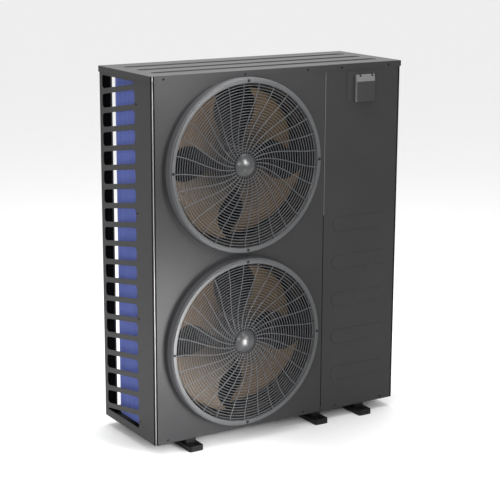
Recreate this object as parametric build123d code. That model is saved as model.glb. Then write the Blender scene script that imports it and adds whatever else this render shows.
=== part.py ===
from build123d import *
import math
import os

# Two-fan, side-discharge pool heat pump. Millimetres, +Z up, front face towards -Y.
# Origin: middle of the casing's footprint, on the plane the feet stand on.

# Casing
CASE_W = 1125.0
CASE_D = 419.5
CASE_H = 1400.0
FOOT_H = 40.0
SHEET = 1.2
Z_BOTTOM = FOOT_H
Z_TOP = FOOT_H + CASE_H
X_SIDE = 557.5          # outer face of both side panels
X_INNER = X_SIDE - SHEET
Y_FRONT = -207.5        # outer face of the front panels
Y_REAR = 209.0          # outer face of the rear panels
COVER_FLANGE = 23.0
COVER_Y_FRONT = -209.0
Z_PANEL_TOP = Z_TOP - 2.0
CORNER_RETURN = 7.0     # width of the side panels' bent front edge
PANEL_GAP = 1.5
X_SEAM = 199.5          # seam between the fan panel and the service panel
PAN_RIM_H = 30.0
POST_X1 = -511.5        # inner edge of the black rear corner post
REAR_PANEL_X0 = 205.0   # seam between the coil guard and the rear service panel
GUARD_X0 = -462.0
GUARD_Z = (71.0, 1434.0)
GUARD_CELLS = (14, 12)
GUARD_WIRE = 3.0
DRAIN_XY = (-100.0, 60.0)
DRAIN_R = 9.0
DRAIN_Z0 = 18.0
DRAIN_SEAT_Z = 38.0     # underside of the spigot's collar, where the hose stops

# Cover grooves
GROOVE_L = 1014.0
GROOVE_W = 40.0
GROOVE_PITCH = 108.5
GROOVE_DEPTH = 4.0

# Fans
FAN_X = -173.5
LOWER_FAN_Z = 398.0
FAN_PITCH = 688.0
FAN_HEIGHTS = {"lower": LOWER_FAN_Z, "upper": LOWER_FAN_Z + FAN_PITCH}
COLLAR_R = 331.0
COLLAR_DEPTH = 40.0
COLLAR_BASE_FILLET = 4.0
COLLAR_LIP_FILLET = 4.0
LIP_R = 311.0
THROAT_R = 299.0
FLANGE_FLAT = 327.0     # the ring's fixing flange is cut flat this far from the shaft
BLADE_R = 290.0
HUB_R = 62.0
HUB_Y0 = -172.0
HUB_Y1 = -82.0
BLADE_COUNT = 4
FIRST_BLADE_DEG = 44.0
BLADE_MID_Y = -132.5
BLADE_ADVANCE = -1.2    # axial travel of the blade surface, mm per degree
BLADE_T = 3.0
SHAFT_R = 6.0
SHAFT_FIT = 0.05
SHAFT_Y0 = -190.0
SHAFT_Y1 = -30.0

# Grille
RIM_T = 4.0
RIM_Y0 = Y_FRONT - COLLAR_DEPTH - RIM_T
RING_COUNT = 24
RING_R_MAX = 302.0
RING_PITCH = 10.7
WIRE = 2.4
SPOKE_COUNT = 29
SPOKE_END_DEG = -5.6
SPOKE_SWIRL_DEG = 28.0
SPOKE_R_MIN = 40.0
SPOKE_R_MAX = 312.0
DISH_DEPTH = 20.0
DISH_EDGE = 0.2
GRILLE_SCREW_R = 320.5
DOME_R = 46.0
DOME_H = 22.0
DOME_T = 2.0

# Left side openings
LOUVRE_COUNT = 19
LOUVRE_PITCH = 73.9
LOUVRE_H = 53.0
LOUVRE_Y0 = -77.5
LOUVRE_Y1 = 187.0
LOUVRE_SLOPE = 0.173
LOUVRE_FIRST_Z = 1403.5
LOUVRE_CORNER = 15.0
LOUVRE_Z_MIN = Z_BOTTOM + PAN_RIM_H
LOUVRE_Z_MAX = Z_TOP - COVER_FLANGE - 10.0

# Service panel obrounds
OBROUND_L = 263.0
OBROUND_H = 58.0
OBROUND_X = 375.0
OBROUND_FIRST_Z = 190.0
OBROUND_PITCH = 154.0
OBROUND_COUNT = 5
OBROUND_RISE = 2.0

# Evaporator
COIL_X = -537.5
COIL_Y = 177.5
COIL_T = 44.0
COIL_BEND_R = 80.0
COIL_FRONT_Y = -112.5
COIL_RIGHT_X = 167.5
COIL_Z0 = 72.0
COIL_Z1 = 1414.0
FIN_SKIN = 2.0
TUBE_R = 4.76
HAIRPIN_PITCH = 50.8
HAIRPIN_COUNT = 26

# Foot rails
RAIL_X = {"left": -398.0, "middle": 182.5, "right": 398.0}
RAIL_W = 60.0
RAIL_HALF_L = 247.5
STRIP_T = 6.0
RAIL_FOOT_H = 16.0
ANCHOR_Y = 228.0
ANCHOR_R = 5.5

# Right-hand chamber
X_PARTITION = 201.0
COMPRESSOR_XY = (290.0, -90.0)
COMPRESSOR_R = 78.0
COMPRESSOR_Z = (70.0, 470.0)
ACCUMULATOR_XY = (400.0, -150.0)
ACCUMULATOR_R = 36.0
ACCUMULATOR_Z = (180.0, 480.0)
EXCHANGER_XY = (425.0, 60.0)
EXCHANGER_R = 80.0
EXCHANGER_Z = (100.0, 780.0)
VALVE_CENTRE = (330.0, -150.0, 760.0)
PORT_Z = {"inlet": 220.0, "outlet": 620.0}
PIPE_R = 25.0
SOCKET_BORE_R = 25.1
HEADER_XY = (186.0, 158.0)
HEADER_Z = (150.0, 1300.0)
GAS_LINE_Z = 680.0
LIQUID_LINE_Z = 420.0

# Controller behind the weather flap
BEZEL = (302.5, 435.5, 1294.0, 1407.0)
HOUSING = (346.0, 430.0, 1307.0, 1391.0)
BEZEL_Y = -209.0
FLAP_X0 = 339.5
FLAP_X1 = 427.0
FLAP_Z0 = 1289.0
FLAP_FRONT_Y = -221.5
FLAP_SLOPE_Z = 1368.0
FLAP_T = 2.0
HINGE_Y = -213.5
HINGE_Z = 1391.0
KNUCKLE_R = 4.0
PIN_R = 1.5
PIN_FIT = 0.06
LUG_X = (359.0, 416.0)
LUG_W = 8.0
BUTTON_X = {"power": 358.0, "mode": 378.0, "down": 398.0, "up": 418.0}
BUTTON_Z = 1317.0
BUTTON_R = 5.0
BUTTON_GAP = 0.3

# Screws
SCREW_R = 2.0
DRILL_R = 2.1
HEAD_R = 4.2
HEAD_H = 2.2
COVER_SCREW_X = (-507.5, -162.5, 118.5, 275.5, 500.0)
COVER_SCREW_Z = 1426.0
BASE_SCREW_X = (-502.5, 116.5, 272.5, 500.0)
BASE_SCREW_Z = 52.0
SIDE_SCREW_Y = -87.5
SIDE_SCREW_Z = (98.0, 510.0, 918.0, 1325.0)


def block(x0, x1, y0, y1, z0, z1):
    """Box from its lowest to its highest corner."""
    middle = Pos((x0 + x1) / 2, (y0 + y1) / 2, (z0 + z1) / 2)
    return middle * Box(x1 - x0, y1 - y0, z1 - z0)


def rod_x(y, z, x0, x1, radius):
    return Pos((x0 + x1) / 2, y, z) * Rot(0, 90, 0) * Cylinder(radius, x1 - x0)


def rod_y(x, z, y0, y1, radius):
    return Pos(x, (y0 + y1) / 2, z) * Rot(90, 0, 0) * Cylinder(radius, y1 - y0)


def rod_z(x, y, z0, z1, radius):
    return Pos(x, y, (z0 + z1) / 2) * Cylinder(radius, z1 - z0)


def turned_y(profile, x, z):
    """Solid of revolution about a line along Y, from (radius, y) points."""
    face = make_face(Polyline(*profile, close=True))
    return Pos(x, 0, z) * revolve(face, axis=Axis.Y)


def turned_z(profile, x, y):
    """Solid of revolution about a vertical line, from (radius, z) points."""
    face = Plane.XZ * make_face(Polyline(*profile, close=True))
    return Pos(x, y, 0) * revolve(face, axis=Axis.Z)


def pipe(points, bend, outer, wall):
    """Bent tube: straight runs joined by tangent arcs."""
    path = FilletPolyline(*points, radius=bend)
    section = Circle(outer) - Circle(outer - wall)
    return sweep(Plane(origin=path @ 0, z_dir=path % 0) * section, path=path)


def group(pieces):
    """Several separate solids as one node."""
    return Compound(children=[solid for piece in pieces for solid in piece.solids()])


def cut_all(body, tools):
    """Body with every tool taken away."""
    for tool in tools:
        body = body - tool
    return body


def front_screw(x, z, seat_y, length):
    head = rod_y(x, z, seat_y - HEAD_H, seat_y, HEAD_R)
    head = fillet(head.edges().group_by(Axis.Y)[0], 1.2)
    return head + rod_y(x, z, seat_y, seat_y + length, SCREW_R)


def side_screw(y, z, seat_x, length):
    """Screw in a side panel; the head is outside, at negative or positive X."""
    out = math.copysign(1.0, seat_x)
    head = rod_x(y, z, min(seat_x, seat_x + out * HEAD_H), max(seat_x, seat_x + out * HEAD_H), HEAD_R)
    shank = rod_x(y, z, min(seat_x, seat_x - out * length), max(seat_x, seat_x - out * length), SCREW_R)
    return head + shank


def front_drills():
    """Clearance holes shared by the cover's flange, the front panels and the pan."""
    cover = [rod_y(x, COVER_SCREW_Z, -215, -200, DRILL_R) for x in COVER_SCREW_X]
    base = [rod_y(x, BASE_SCREW_Z, -215, -200, DRILL_R) for x in BASE_SCREW_X]
    return cover + base


def side_drills():
    return [rod_x(SIDE_SCREW_Y, z, side * X_SIDE - 8, side * X_SIDE + 8, DRILL_R)
            for z in SIDE_SCREW_Z for side in (-1, 1)]


# Base

def base_pan():
    """Pressed drip pan with an upturned rim and a drain hole."""
    outer = block(-X_INNER + 0.1, X_INNER - 0.1, Y_FRONT + SHEET + 0.1, Y_REAR - SHEET - 0.1,
                  Z_BOTTOM, Z_BOTTOM + PAN_RIM_H)
    inner = block(-X_INNER + 1.6, X_INNER - 1.6, Y_FRONT + SHEET + 1.6, Y_REAR - SHEET - 1.6,
                  Z_BOTTOM + 1.5, Z_BOTTOM + PAN_RIM_H + 1)
    pan = outer - inner - rod_z(*DRAIN_XY, Z_BOTTOM - 1, Z_BOTTOM + 3, DRAIN_R)
    return cut_all(pan, front_drills())


def condensate_spigot():
    """Outlet that drains the pan: hose tail, collar under the pan and flange inside it."""
    tail = rod_z(*DRAIN_XY, DRAIN_Z0, Z_BOTTOM + 1.5, DRAIN_R)
    collar = rod_z(*DRAIN_XY, DRAIN_SEAT_Z, Z_BOTTOM, DRAIN_R + 4)
    flange = rod_z(*DRAIN_XY, Z_BOTTOM + 1.5, Z_BOTTOM + 4, DRAIN_R + 6)
    return tail + collar + flange - rod_z(*DRAIN_XY, DRAIN_Z0 - 1, Z_BOTTOM + 5, DRAIN_R - 2.5)


def foot_rail(x):
    """Formed rail across the base: a wide foot with a narrower web up to the pan."""
    foot = block(x - RAIL_W / 2, x + RAIL_W / 2, -RAIL_HALF_L, RAIL_HALF_L, STRIP_T, STRIP_T + RAIL_FOOT_H)
    foot = fillet(foot.edges().filter_by(Axis.Z), 9.0)
    foot = fillet(foot.faces().sort_by(Axis.Z)[-1].edges(), 2.5)
    web = block(x - 20, x + 20, -200, 200, STRIP_T + RAIL_FOOT_H, Z_BOTTOM)
    hollow = block(x - 16, x + 16, -196, 196, STRIP_T, Z_BOTTOM - 3)
    rail = foot + web - hollow
    return cut_all(rail, [rod_z(x, y, 0, Z_BOTTOM, ANCHOR_R) for y in (-ANCHOR_Y, ANCHOR_Y)])


def rubber_strip(x):
    """Strip bonded under the rail."""
    strip = block(x - RAIL_W / 2, x + RAIL_W / 2, -RAIL_HALF_L, RAIL_HALF_L, 0, STRIP_T)
    strip = fillet(strip.edges().filter_by(Axis.Z), 9.0)
    return cut_all(strip, [rod_z(x, y, -1, STRIP_T + 1, ANCHOR_R) for y in (-ANCHOR_Y, ANCHOR_Y)])


# Casing

def top_cover():
    """Pressed lid: a tray turned down all round, with three stiffening grooves."""
    half_w = CASE_W / 2
    y1 = COVER_Y_FRONT + CASE_D
    tray = block(-half_w, half_w, COVER_Y_FRONT, y1, Z_TOP - COVER_FLANGE, Z_TOP)
    tray = fillet(tray.edges().filter_by(Axis.Z), 3.0)
    tray = fillet(tray.faces().sort_by(Axis.Z)[-1].edges(), 2.5)
    void = block(-half_w + SHEET, half_w - SHEET, COVER_Y_FRONT + SHEET, y1 - SHEET,
                 Z_TOP - COVER_FLANGE - 1, Z_TOP - SHEET)
    for step in (-1, 0, 1):
        place = Pos(0, -4 + step * GROOVE_PITCH, Z_TOP)
        cut = place * extrude(SlotOverall(GROOVE_L, GROOVE_W), amount=-GROOVE_DEPTH, taper=35)
        keep = Pos(0, 0, -SHEET) * place * extrude(SlotOverall(GROOVE_L + 3, GROOVE_W + 3),
                                                   amount=-GROOVE_DEPTH, taper=30)
        void = void - keep
        tray = tray - cut
    return cut_all(tray - void, front_drills())


def collar():
    """Drawn collar round one fan opening: soft root, straight wall, rolled lip."""
    def drum(radius, y0, y1, root, lip, skirt):
        profile = make_face(Polyline((0, y0), (radius, y0), (radius, y1), (radius + skirt, y1),
                                     (radius + skirt, y1 + SHEET), (0, y1 + SHEET), close=True))
        corners = profile.vertices()
        lip_corner = corners.sort_by_distance(Vertex(radius, y0, 0))[0]
        root_corner = corners.sort_by_distance(Vertex(radius, y1, 0))[0]
        profile = fillet(lip_corner, lip)
        root_corner = profile.vertices().sort_by_distance(Vertex(radius, y1, 0))[0]
        profile = fillet(root_corner, root)
        return revolve(profile, axis=Axis.Y)

    front = Y_FRONT - COLLAR_DEPTH
    outer = drum(COLLAR_R, front, Y_FRONT, COLLAR_BASE_FILLET, COLLAR_LIP_FILLET, 14.0)
    inner = drum(COLLAR_R - SHEET, front + SHEET, Y_FRONT + SHEET, COLLAR_BASE_FILLET + SHEET,
                 COLLAR_LIP_FILLET - SHEET, 12.8)
    mouth = Rot(90, 0, 0) * Cylinder(LIP_R, 200)
    return outer - inner - Pos(0, front, 0) * mouth


def grille_screw_places(z):
    return [(FAN_X + GRILLE_SCREW_R * math.cos(math.radians(a)),
             z + GRILLE_SCREW_R * math.sin(math.radians(a))) for a in (0, 90, 180, 270)]


def fan_front_panel():
    """Front panel with both drawn collars and returns on its four edges."""
    x0 = -X_SIDE + CORNER_RETURN + PANEL_GAP
    x1 = X_SEAM - PANEL_GAP / 2
    sheet = block(x0, x1, Y_FRONT, Y_FRONT + SHEET, Z_BOTTOM, Z_PANEL_TOP)
    for x in (x0, x1 - SHEET):
        sheet = sheet + block(x, x + SHEET, Y_FRONT, Y_FRONT + 14, Z_BOTTOM + PAN_RIM_H + 2, Z_PANEL_TOP)
    ring = collar()
    for z in FAN_HEIGHTS.values():
        sheet = sheet - rod_y(FAN_X, z, Y_FRONT - 1, Y_FRONT + 2, COLLAR_R + 10)
        sheet = sheet + Pos(FAN_X, 0, z) * ring
        sheet = cut_all(sheet, [rod_y(x, sz, RIM_Y0, Y_FRONT - 30, DRILL_R)
                                for x, sz in grille_screw_places(z)])
    under_cover = block(x0 - 1, x1 + 1, Y_FRONT - 60, Y_FRONT - 0.05, Z_TOP - COVER_FLANGE - 0.5, Z_TOP)
    return cut_all(sheet - under_cover, front_drills())


def service_front_panel():
    """Removable front panel of the machinery side, with five raised obrounds."""
    x0 = X_SEAM + PANEL_GAP / 2
    x1 = X_SIDE - CORNER_RETURN - PANEL_GAP
    sheet = block(x0, x1, Y_FRONT, Y_FRONT + SHEET, Z_BOTTOM, Z_PANEL_TOP)
    sheet = sheet + block(x0 + 1.6, x0 + 1.6 + SHEET, Y_FRONT, Y_FRONT + 14,
                          Z_BOTTOM + PAN_RIM_H + 2, Z_PANEL_TOP)
    sheet = sheet + block(x1 - SHEET, x1, Y_FRONT, Y_FRONT + 14, Z_BOTTOM + PAN_RIM_H + 2, Z_PANEL_TOP)
    outline = Plane.XZ * SlotOverall(OBROUND_L, OBROUND_H)
    hollow = Plane.XZ * SlotOverall(OBROUND_L - 3, OBROUND_H - 3)
    for step in range(OBROUND_COUNT):
        z = OBROUND_FIRST_Z + step * OBROUND_PITCH
        sheet = sheet + Pos(OBROUND_X, Y_FRONT, z) * extrude(outline, amount=OBROUND_RISE, taper=40)
        sheet = sheet - Pos(OBROUND_X, Y_FRONT + SHEET, z) * extrude(hollow, amount=OBROUND_RISE, taper=40)
    x_low, x_high, z_low, z_high = HOUSING
    sheet = sheet - block(x_low, x_high, Y_FRONT - 1, Y_FRONT + 2, z_low, z_high)
    return cut_all(sheet, front_drills())


def louvre(index):
    """One slanted opening with round corners, rising towards the front."""
    z_mid = LOUVRE_FIRST_Z - index * LOUVRE_PITCH
    half = (LOUVRE_Y1 - LOUVRE_Y0) / 2
    drop = LOUVRE_SLOPE * half
    outline = Polyline((-half, -LOUVRE_H / 2 + drop), (-half, LOUVRE_H / 2 + drop),
                       (half, LOUVRE_H / 2 - drop), (half, -LOUVRE_H / 2 - drop), close=True)
    face = make_face(outline)
    face = fillet(face.vertices(), LOUVRE_CORNER)
    tool = extrude(Plane.YZ * face, amount=20, both=True)
    tool = Pos(-X_SIDE, (LOUVRE_Y0 + LOUVRE_Y1) / 2, z_mid) * tool
    return tool & block(-X_SIDE - 30, -X_SIDE + 30, -250, 250, LOUVRE_Z_MIN, LOUVRE_Z_MAX)


def side_panel(side):
    """Side panel with a short return round the front corner."""
    sheet = block(-X_SIDE, -X_INNER, Y_FRONT, Y_REAR, Z_BOTTOM, Z_PANEL_TOP)
    bend = block(-X_SIDE, -X_SIDE + CORNER_RETURN, Y_FRONT, Y_FRONT + SHEET, Z_BOTTOM, Z_PANEL_TOP)
    sheet = sheet + bend
    corner = sheet.edges().filter_by(Axis.Z).sort_by_distance(Vertex(-X_SIDE, Y_FRONT, 700))[0]
    sheet = fillet(corner, 2.5)
    if side == "right":
        sheet = mirror(sheet, about=Plane.YZ)
    return cut_all(sheet, side_drills())


def left_side_panel():
    return cut_all(side_panel("left"), [louvre(i) for i in range(LOUVRE_COUNT)])


def right_side_panel():
    """Plain side panel with the water ports and the cable gland's hole."""
    ports = [rod_x(EXCHANGER_XY[1], z, 540, 560, 28.0) for z in PORT_Z.values()]
    return cut_all(side_panel("right"), ports + [rod_x(60, 1180, 540, 560, 12.5)])


def rear_service_panel():
    """Plain rear sheet of the machinery side, with a bank of vent slots."""
    sheet = block(REAR_PANEL_X0, X_INNER - 0.2, Y_REAR - SHEET, Y_REAR, Z_BOTTOM, Z_PANEL_TOP)
    slot = Rot(90, 0, 0) * extrude(SlotOverall(160, 9), amount=10, both=True)
    return cut_all(sheet, [Pos(378, Y_REAR, 300 + 40 * step) * slot for step in range(6)])


def rear_corner_post():
    """Black angle that closes the rear left corner behind the coil's bend."""
    rear = block(-X_INNER + 0.2, POST_X1, Y_REAR - SHEET, Y_REAR, Z_BOTTOM, Z_PANEL_TOP)
    side = block(-X_INNER + 0.2, -X_INNER + 1.4, 185, Y_REAR, Z_BOTTOM + PAN_RIM_H + 2, Z_PANEL_TOP)
    return rear + side


def rear_coil_guard():
    """Welded grid of square wires over the back of the coil."""
    columns, rows = GUARD_CELLS
    width = REAR_PANEL_X0 - 0.1 - GUARD_X0
    height = GUARD_Z[1] - GUARD_Z[0]
    cell_x = (width - GUARD_WIRE) / columns
    cell_z = (height - GUARD_WIRE) / rows
    gap = Rectangle(cell_x - GUARD_WIRE, cell_z - GUARD_WIRE)
    gaps = GridLocations(cell_x, cell_z, columns, rows) * gap
    grid = extrude(Plane.XZ * (Rectangle(width, height) - gaps), amount=GUARD_WIRE)
    return Pos(GUARD_X0 + width / 2, Y_REAR, sum(GUARD_Z) / 2) * grid


def partition_plate():
    """Sheet between the fan side and the machinery side."""
    sheet = block(X_PARTITION, X_PARTITION + SHEET, -193, 201, Z_BOTTOM + 1.6, Z_TOP - 10)
    lines = [rod_x(HEADER_XY[1], z, 190, 215, 12.0) for z in (GAS_LINE_Z, LIQUID_LINE_Z)]
    return cut_all(sheet, lines + [block(190, 215, 0, 100, 1050, 1300)])


# Fans

def orifice_ring(z):
    """Moulded bell mouth: rounded entry, straight throat, flared tail, fixing flange."""
    profile = [(314, Y_FRONT - 37.4), (308, Y_FRONT - 33), (303, Y_FRONT - 26), (300, Y_FRONT - 14),
               (THROAT_R, Y_FRONT), (THROAT_R, Y_FRONT + 60), (302, Y_FRONT + 76), (308, Y_FRONT + 90),
               (311, Y_FRONT + 90), (305, Y_FRONT + 75), (302, Y_FRONT + 60), (302, Y_FRONT + 4.5),
               (338, Y_FRONT + 4.5), (338, Y_FRONT + 1.5), (302, Y_FRONT + 1.5), (303, Y_FRONT - 13),
               (306, Y_FRONT - 25), (310.5, Y_FRONT - 31), (316, Y_FRONT - 35.4)]
    ring = turned_y(profile, FAN_X, z)
    return ring - block(FAN_X - 350, FAN_X + 350, Y_FRONT, Y_FRONT + 10, z - 350, z - FLANGE_FLAT)


def blade():
    """One sickle blade: a helicoid sheet cut to its outline seen along the shaft."""
    sections = []
    for angle in (-50, -25, 0, 25, 50):
        strip = Rectangle(BLADE_R + 10 - 50, BLADE_T, align=(Align.MIN, Align.CENTER))
        turn = Rot(0, -angle, 0)
        sections.append(turn * Pos(50, BLADE_MID_Y + BLADE_ADVANCE * angle, 0) * strip)
    sheet = loft(sections)

    def at(radius, angle):
        return (radius * math.cos(math.radians(angle)), radius * math.sin(math.radians(angle)))

    front = Spline(at(55, 40), at(87, 36), at(178, 22.5), at(235, 25), at(BLADE_R, 38))
    back = Spline(at(BLADE_R, -40), at(258, -36), at(192, -24), at(132, -24), at(55, -26))
    tip = ThreePointArc(at(BLADE_R, 38), at(BLADE_R, 0), at(BLADE_R, -40))
    root = Line(at(55, -26), at(55, 40))
    outline = Plane.XZ * make_face([front, tip, back, root])
    return sheet & extrude(outline, amount=300, both=True)


def impeller(z):
    """Moulded impeller: hub with four blades and a bore for the shaft."""
    hub = rod_y(0, 0, HUB_Y0, HUB_Y1, HUB_R)
    hub = fillet(hub.edges().group_by(Axis.Y)[0], 8.0)
    hub = hub - rod_y(0, 0, HUB_Y1 - 70, HUB_Y1 + 1, HUB_R - 4)
    hub = hub + rod_y(0, 0, HUB_Y0 + 4, HUB_Y1, 16.0)
    one = blade() - rod_y(0, 0, HUB_Y0 - 50, HUB_Y1 + 50, HUB_R - 1)
    for step in range(BLADE_COUNT):
        angle = FIRST_BLADE_DEG + step * 360 / BLADE_COUNT
        hub = hub + Rot(0, -angle, 0) * one
    hub = hub - rod_y(0, 0, HUB_Y0 - 20, HUB_Y1 + 20, SHAFT_R)
    return Pos(FAN_X, 0, z) * hub


def fan_shaft(z):
    shaft = rod_y(FAN_X, z, SHAFT_Y0, SHAFT_Y1, SHAFT_R)
    return chamfer(shaft.edges().group_by(Axis.Y)[0], 1.0)


def shaft_nut(z):
    """Hexagon nut that holds the hub on the shaft."""
    nut = extrude(Plane.XZ * RegularPolygon(11.0, 6), amount=10)
    nut = Pos(FAN_X, HUB_Y0, z) * nut
    return nut - rod_y(FAN_X, z, HUB_Y0 - 20, HUB_Y0 + 5, SHAFT_R)


def fan_motor(z):
    """Round fan motor with a front bearing boss, cooling ribs and a blind shaft bore."""
    body = rod_y(FAN_X, z, -62, 48, 68.0)
    body = fillet(body.edges().group_by(Axis.Y)[0], 10.0)
    body = body + rod_y(FAN_X, z, -74, -60, 20.0)
    for y in (-40, -28, -16, -4, 8, 20):
        groove = rod_y(FAN_X, z, y, y + 5, 80.0) - rod_y(FAN_X, z, y - 1, y + 6, 65.0)
        body = body - groove
    return body - rod_y(FAN_X, z, -75, SHAFT_Y1 + 1, SHAFT_R + SHAFT_FIT)


def motor_bracket():
    """Two upright channels joined by a plate behind each motor."""
    frame = None
    for x in (FAN_X - 110, FAN_X + 110):
        channel = block(x - 20, x + 20, 51, 70, Z_BOTTOM + 1.6, Z_TOP - 8)
        channel = channel - block(x - 18.5, x + 18.5, 52.5, 71, Z_BOTTOM, Z_TOP)
        frame = channel if frame is None else frame + channel
    for z in FAN_HEIGHTS.values():
        frame = frame + block(FAN_X - 128, FAN_X + 128, 48, 51, z - 55, z + 55)
    return frame


def dish(radius):
    """How far the grille's wires lie behind the rim's front face."""
    return DISH_DEPTH * (1 - radius / SPOKE_R_MAX) + DISH_EDGE


def swirl(radius):
    """Turn of a spoke, in degrees, from its outer end to the given radius."""
    share = (SPOKE_R_MAX - radius) / (SPOKE_R_MAX - SPOKE_R_MIN)
    return SPOKE_END_DEG + SPOKE_SWIRL_DEG * share ** 2


def spoke():
    """One swirled wire that follows the dish, behind the rings."""
    left, right = [], []
    for step in range(9):
        radius = SPOKE_R_MIN + (SPOKE_R_MAX - SPOKE_R_MIN) * step / 8
        angle = math.radians(swirl(radius))
        point = Vector(radius * math.cos(angle), radius * math.sin(angle))
        near = math.radians(swirl(radius + 1))
        ahead = Vector((radius + 1) * math.cos(near), (radius + 1) * math.sin(near))
        across = (ahead - point).normalized().rotate(Axis.Z, 90) * (WIRE / 2)
        left.append(point + across)
        right.append(point - across)
    ends = [Line(left[-1], right[-1]), Line(right[0], left[0])]
    outline = make_face([Spline(*left), ends[0], Spline(*right), ends[1]])
    prism = extrude(Plane.XZ * outline, amount=400, both=True)
    y_in = RIM_Y0 + dish(SPOKE_R_MIN - 5) + WIRE
    y_out = RIM_Y0 + dish(SPOKE_R_MAX + 5) + WIRE
    band = turned_y([(SPOKE_R_MIN - 5, y_in), (SPOKE_R_MAX + 5, y_out), (SPOKE_R_MAX + 5, y_out + WIRE),
                     (SPOKE_R_MIN - 5, y_in + WIRE)], 0, 0)
    return (prism & band) - rod_y(0, 0, RIM_Y0 - 1, RIM_Y0 + 40, SPOKE_R_MIN)


def fan_grille(z):
    """Welded wire guard: flat rim, rings, swirled spokes and a centre plate."""
    rim = rod_y(0, 0, RIM_Y0, RIM_Y0 + RIM_T, COLLAR_R - 1)
    rim = rim - rod_y(0, 0, RIM_Y0 - 1, RIM_Y0 + 9, LIP_R)
    pieces = [rim]
    for step in range(RING_COUNT):
        radius = RING_R_MAX - step * RING_PITCH
        y = RIM_Y0 + dish(radius + WIRE / 2)
        ring = rod_y(0, 0, y, y + WIRE - 0.1, radius + WIRE / 2)
        pieces.append(ring - rod_y(0, 0, y - 1, y + 9, radius - WIRE / 2))
    wire = spoke() & rod_y(0, 0, RIM_Y0 - 1, RIM_Y0 + 40, LIP_R)
    pieces += [Rot(0, -step * 360 / SPOKE_COUNT, 0) * wire for step in range(SPOKE_COUNT)]
    y = RIM_Y0 + dish(SPOKE_R_MIN)
    pieces.append(rod_y(0, 0, y + WIRE, y + 2 * WIRE, SPOKE_R_MIN - 0.05))
    places = grille_screw_places(0)
    drills = [rod_y(x - FAN_X, sz, RIM_Y0 - 1, RIM_Y0 + 9, DRILL_R) for x, sz in places]
    pieces[0] = cut_all(rim, drills)
    return Pos(FAN_X, 0, z) * group(pieces)


def grille_dome(z):
    """Polished cap over the centre plate, its edge resting on the spokes."""
    base_y = RIM_Y0 + dish(DOME_R) + WIRE
    sphere_r = (DOME_R ** 2 + DOME_H ** 2) / (2 * DOME_H)
    centre = Pos(0, base_y - DOME_H + sphere_r, 0)
    slab = rod_y(0, 0, base_y - DOME_H - 1, base_y, DOME_R)
    cap = (centre * Sphere(sphere_r) & slab) - centre * Sphere(sphere_r - DOME_T)
    return Pos(FAN_X, 0, z) * cap


def grille_screws():
    return group([front_screw(x, sz, RIM_Y0, 10)
                  for z in FAN_HEIGHTS.values() for x, sz in grille_screw_places(z)])


def casing_screws():
    """Screws of the cover, the front panels and both sides."""
    screws = [front_screw(x, COVER_SCREW_Z, COVER_Y_FRONT, 7) for x in COVER_SCREW_X]
    screws += [front_screw(x, BASE_SCREW_Z, Y_FRONT, 7) for x in BASE_SCREW_X]
    screws += [side_screw(SIDE_SCREW_Y, z, side * X_SIDE, 5) for z in SIDE_SCREW_Z for side in (-1, 1)]
    return group(screws)


# Evaporator

def coil_plan(inset):
    """L-shaped plan of the coil with its round bend, drawn in by the given inset."""
    x0 = COIL_X + inset
    y1 = COIL_Y - inset
    bend = COIL_BEND_R - inset
    x0i = COIL_X + COIL_T - inset
    y1i = COIL_Y - COIL_T + inset
    bend_in = COIL_BEND_R - COIL_T + inset
    front = COIL_FRONT_Y + inset
    right = COIL_RIGHT_X - inset
    outer = [Line((x0, front), (x0, y1 - bend)),
             RadiusArc((x0, y1 - bend), (x0 + bend, y1), bend),
             Line((x0 + bend, y1), (right, y1))]
    inner = [Line((right, y1i), (x0i + bend_in, y1i)),
             RadiusArc((x0i + bend_in, y1i), (x0i, y1i - bend_in), -bend_in),
             Line((x0i, y1i - bend_in), (x0i, front))]
    ends = [Line((right, y1), (right, y1i)), Line((x0i, front), (x0, front))]
    return make_face(outer + inner + ends)


def evaporator_fins():
    """Finned block of the L-shaped coil, as a closed skin round its air and fins."""
    block_solid = Pos(0, 0, COIL_Z0) * extrude(coil_plan(0), amount=COIL_Z1 - COIL_Z0)
    core_height = COIL_Z1 - COIL_Z0 - 2 * FIN_SKIN
    return block_solid - Pos(0, 0, COIL_Z0 + FIN_SKIN) * extrude(coil_plan(FIN_SKIN), amount=core_height)


def evaporator_end_plates():
    """Galvanised tube plates at both ends of the coil."""
    front = block(COIL_X - 3, COIL_X + COIL_T + 3, COIL_FRONT_Y - 1.5, COIL_FRONT_Y, COIL_Z0, COIL_Z1)
    right = block(COIL_RIGHT_X, COIL_RIGHT_X + 1.5, COIL_Y - COIL_T - 3, COIL_Y + 3, COIL_Z0, COIL_Z1)
    return group([front, right])


def evaporator_hairpins():
    """Return bends outside the front tube plate, in two staggered columns."""
    bend_r = HAIRPIN_PITCH / 4
    half_ring = Rot(0, 90, 0) * Torus(bend_r, TUBE_R) & block(-20, 20, -40, 0, -40, 40)
    bends = []
    for step in range(HAIRPIN_COUNT):
        z = COIL_Z0 + 26 + step * HAIRPIN_PITCH
        for x, lift in ((COIL_X + 11, 0.0), (COIL_X + 33, HAIRPIN_PITCH / 4)):
            bends.append(Pos(x, COIL_FRONT_Y - 1.5, z + lift) * half_ring)
    return group(bends)


def evaporator_header():
    """Upright manifold with a stub to every circuit."""
    x, y = HEADER_XY
    pipe_body = rod_z(x, y, HEADER_Z[0], HEADER_Z[1], 11.0)
    for step in range(12):
        pipe_body = pipe_body + rod_x(y, HEADER_Z[0] + 30 + step * 98, COIL_RIGHT_X + 1.5, x, TUBE_R)
    return pipe_body


# Refrigerant circuit

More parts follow.
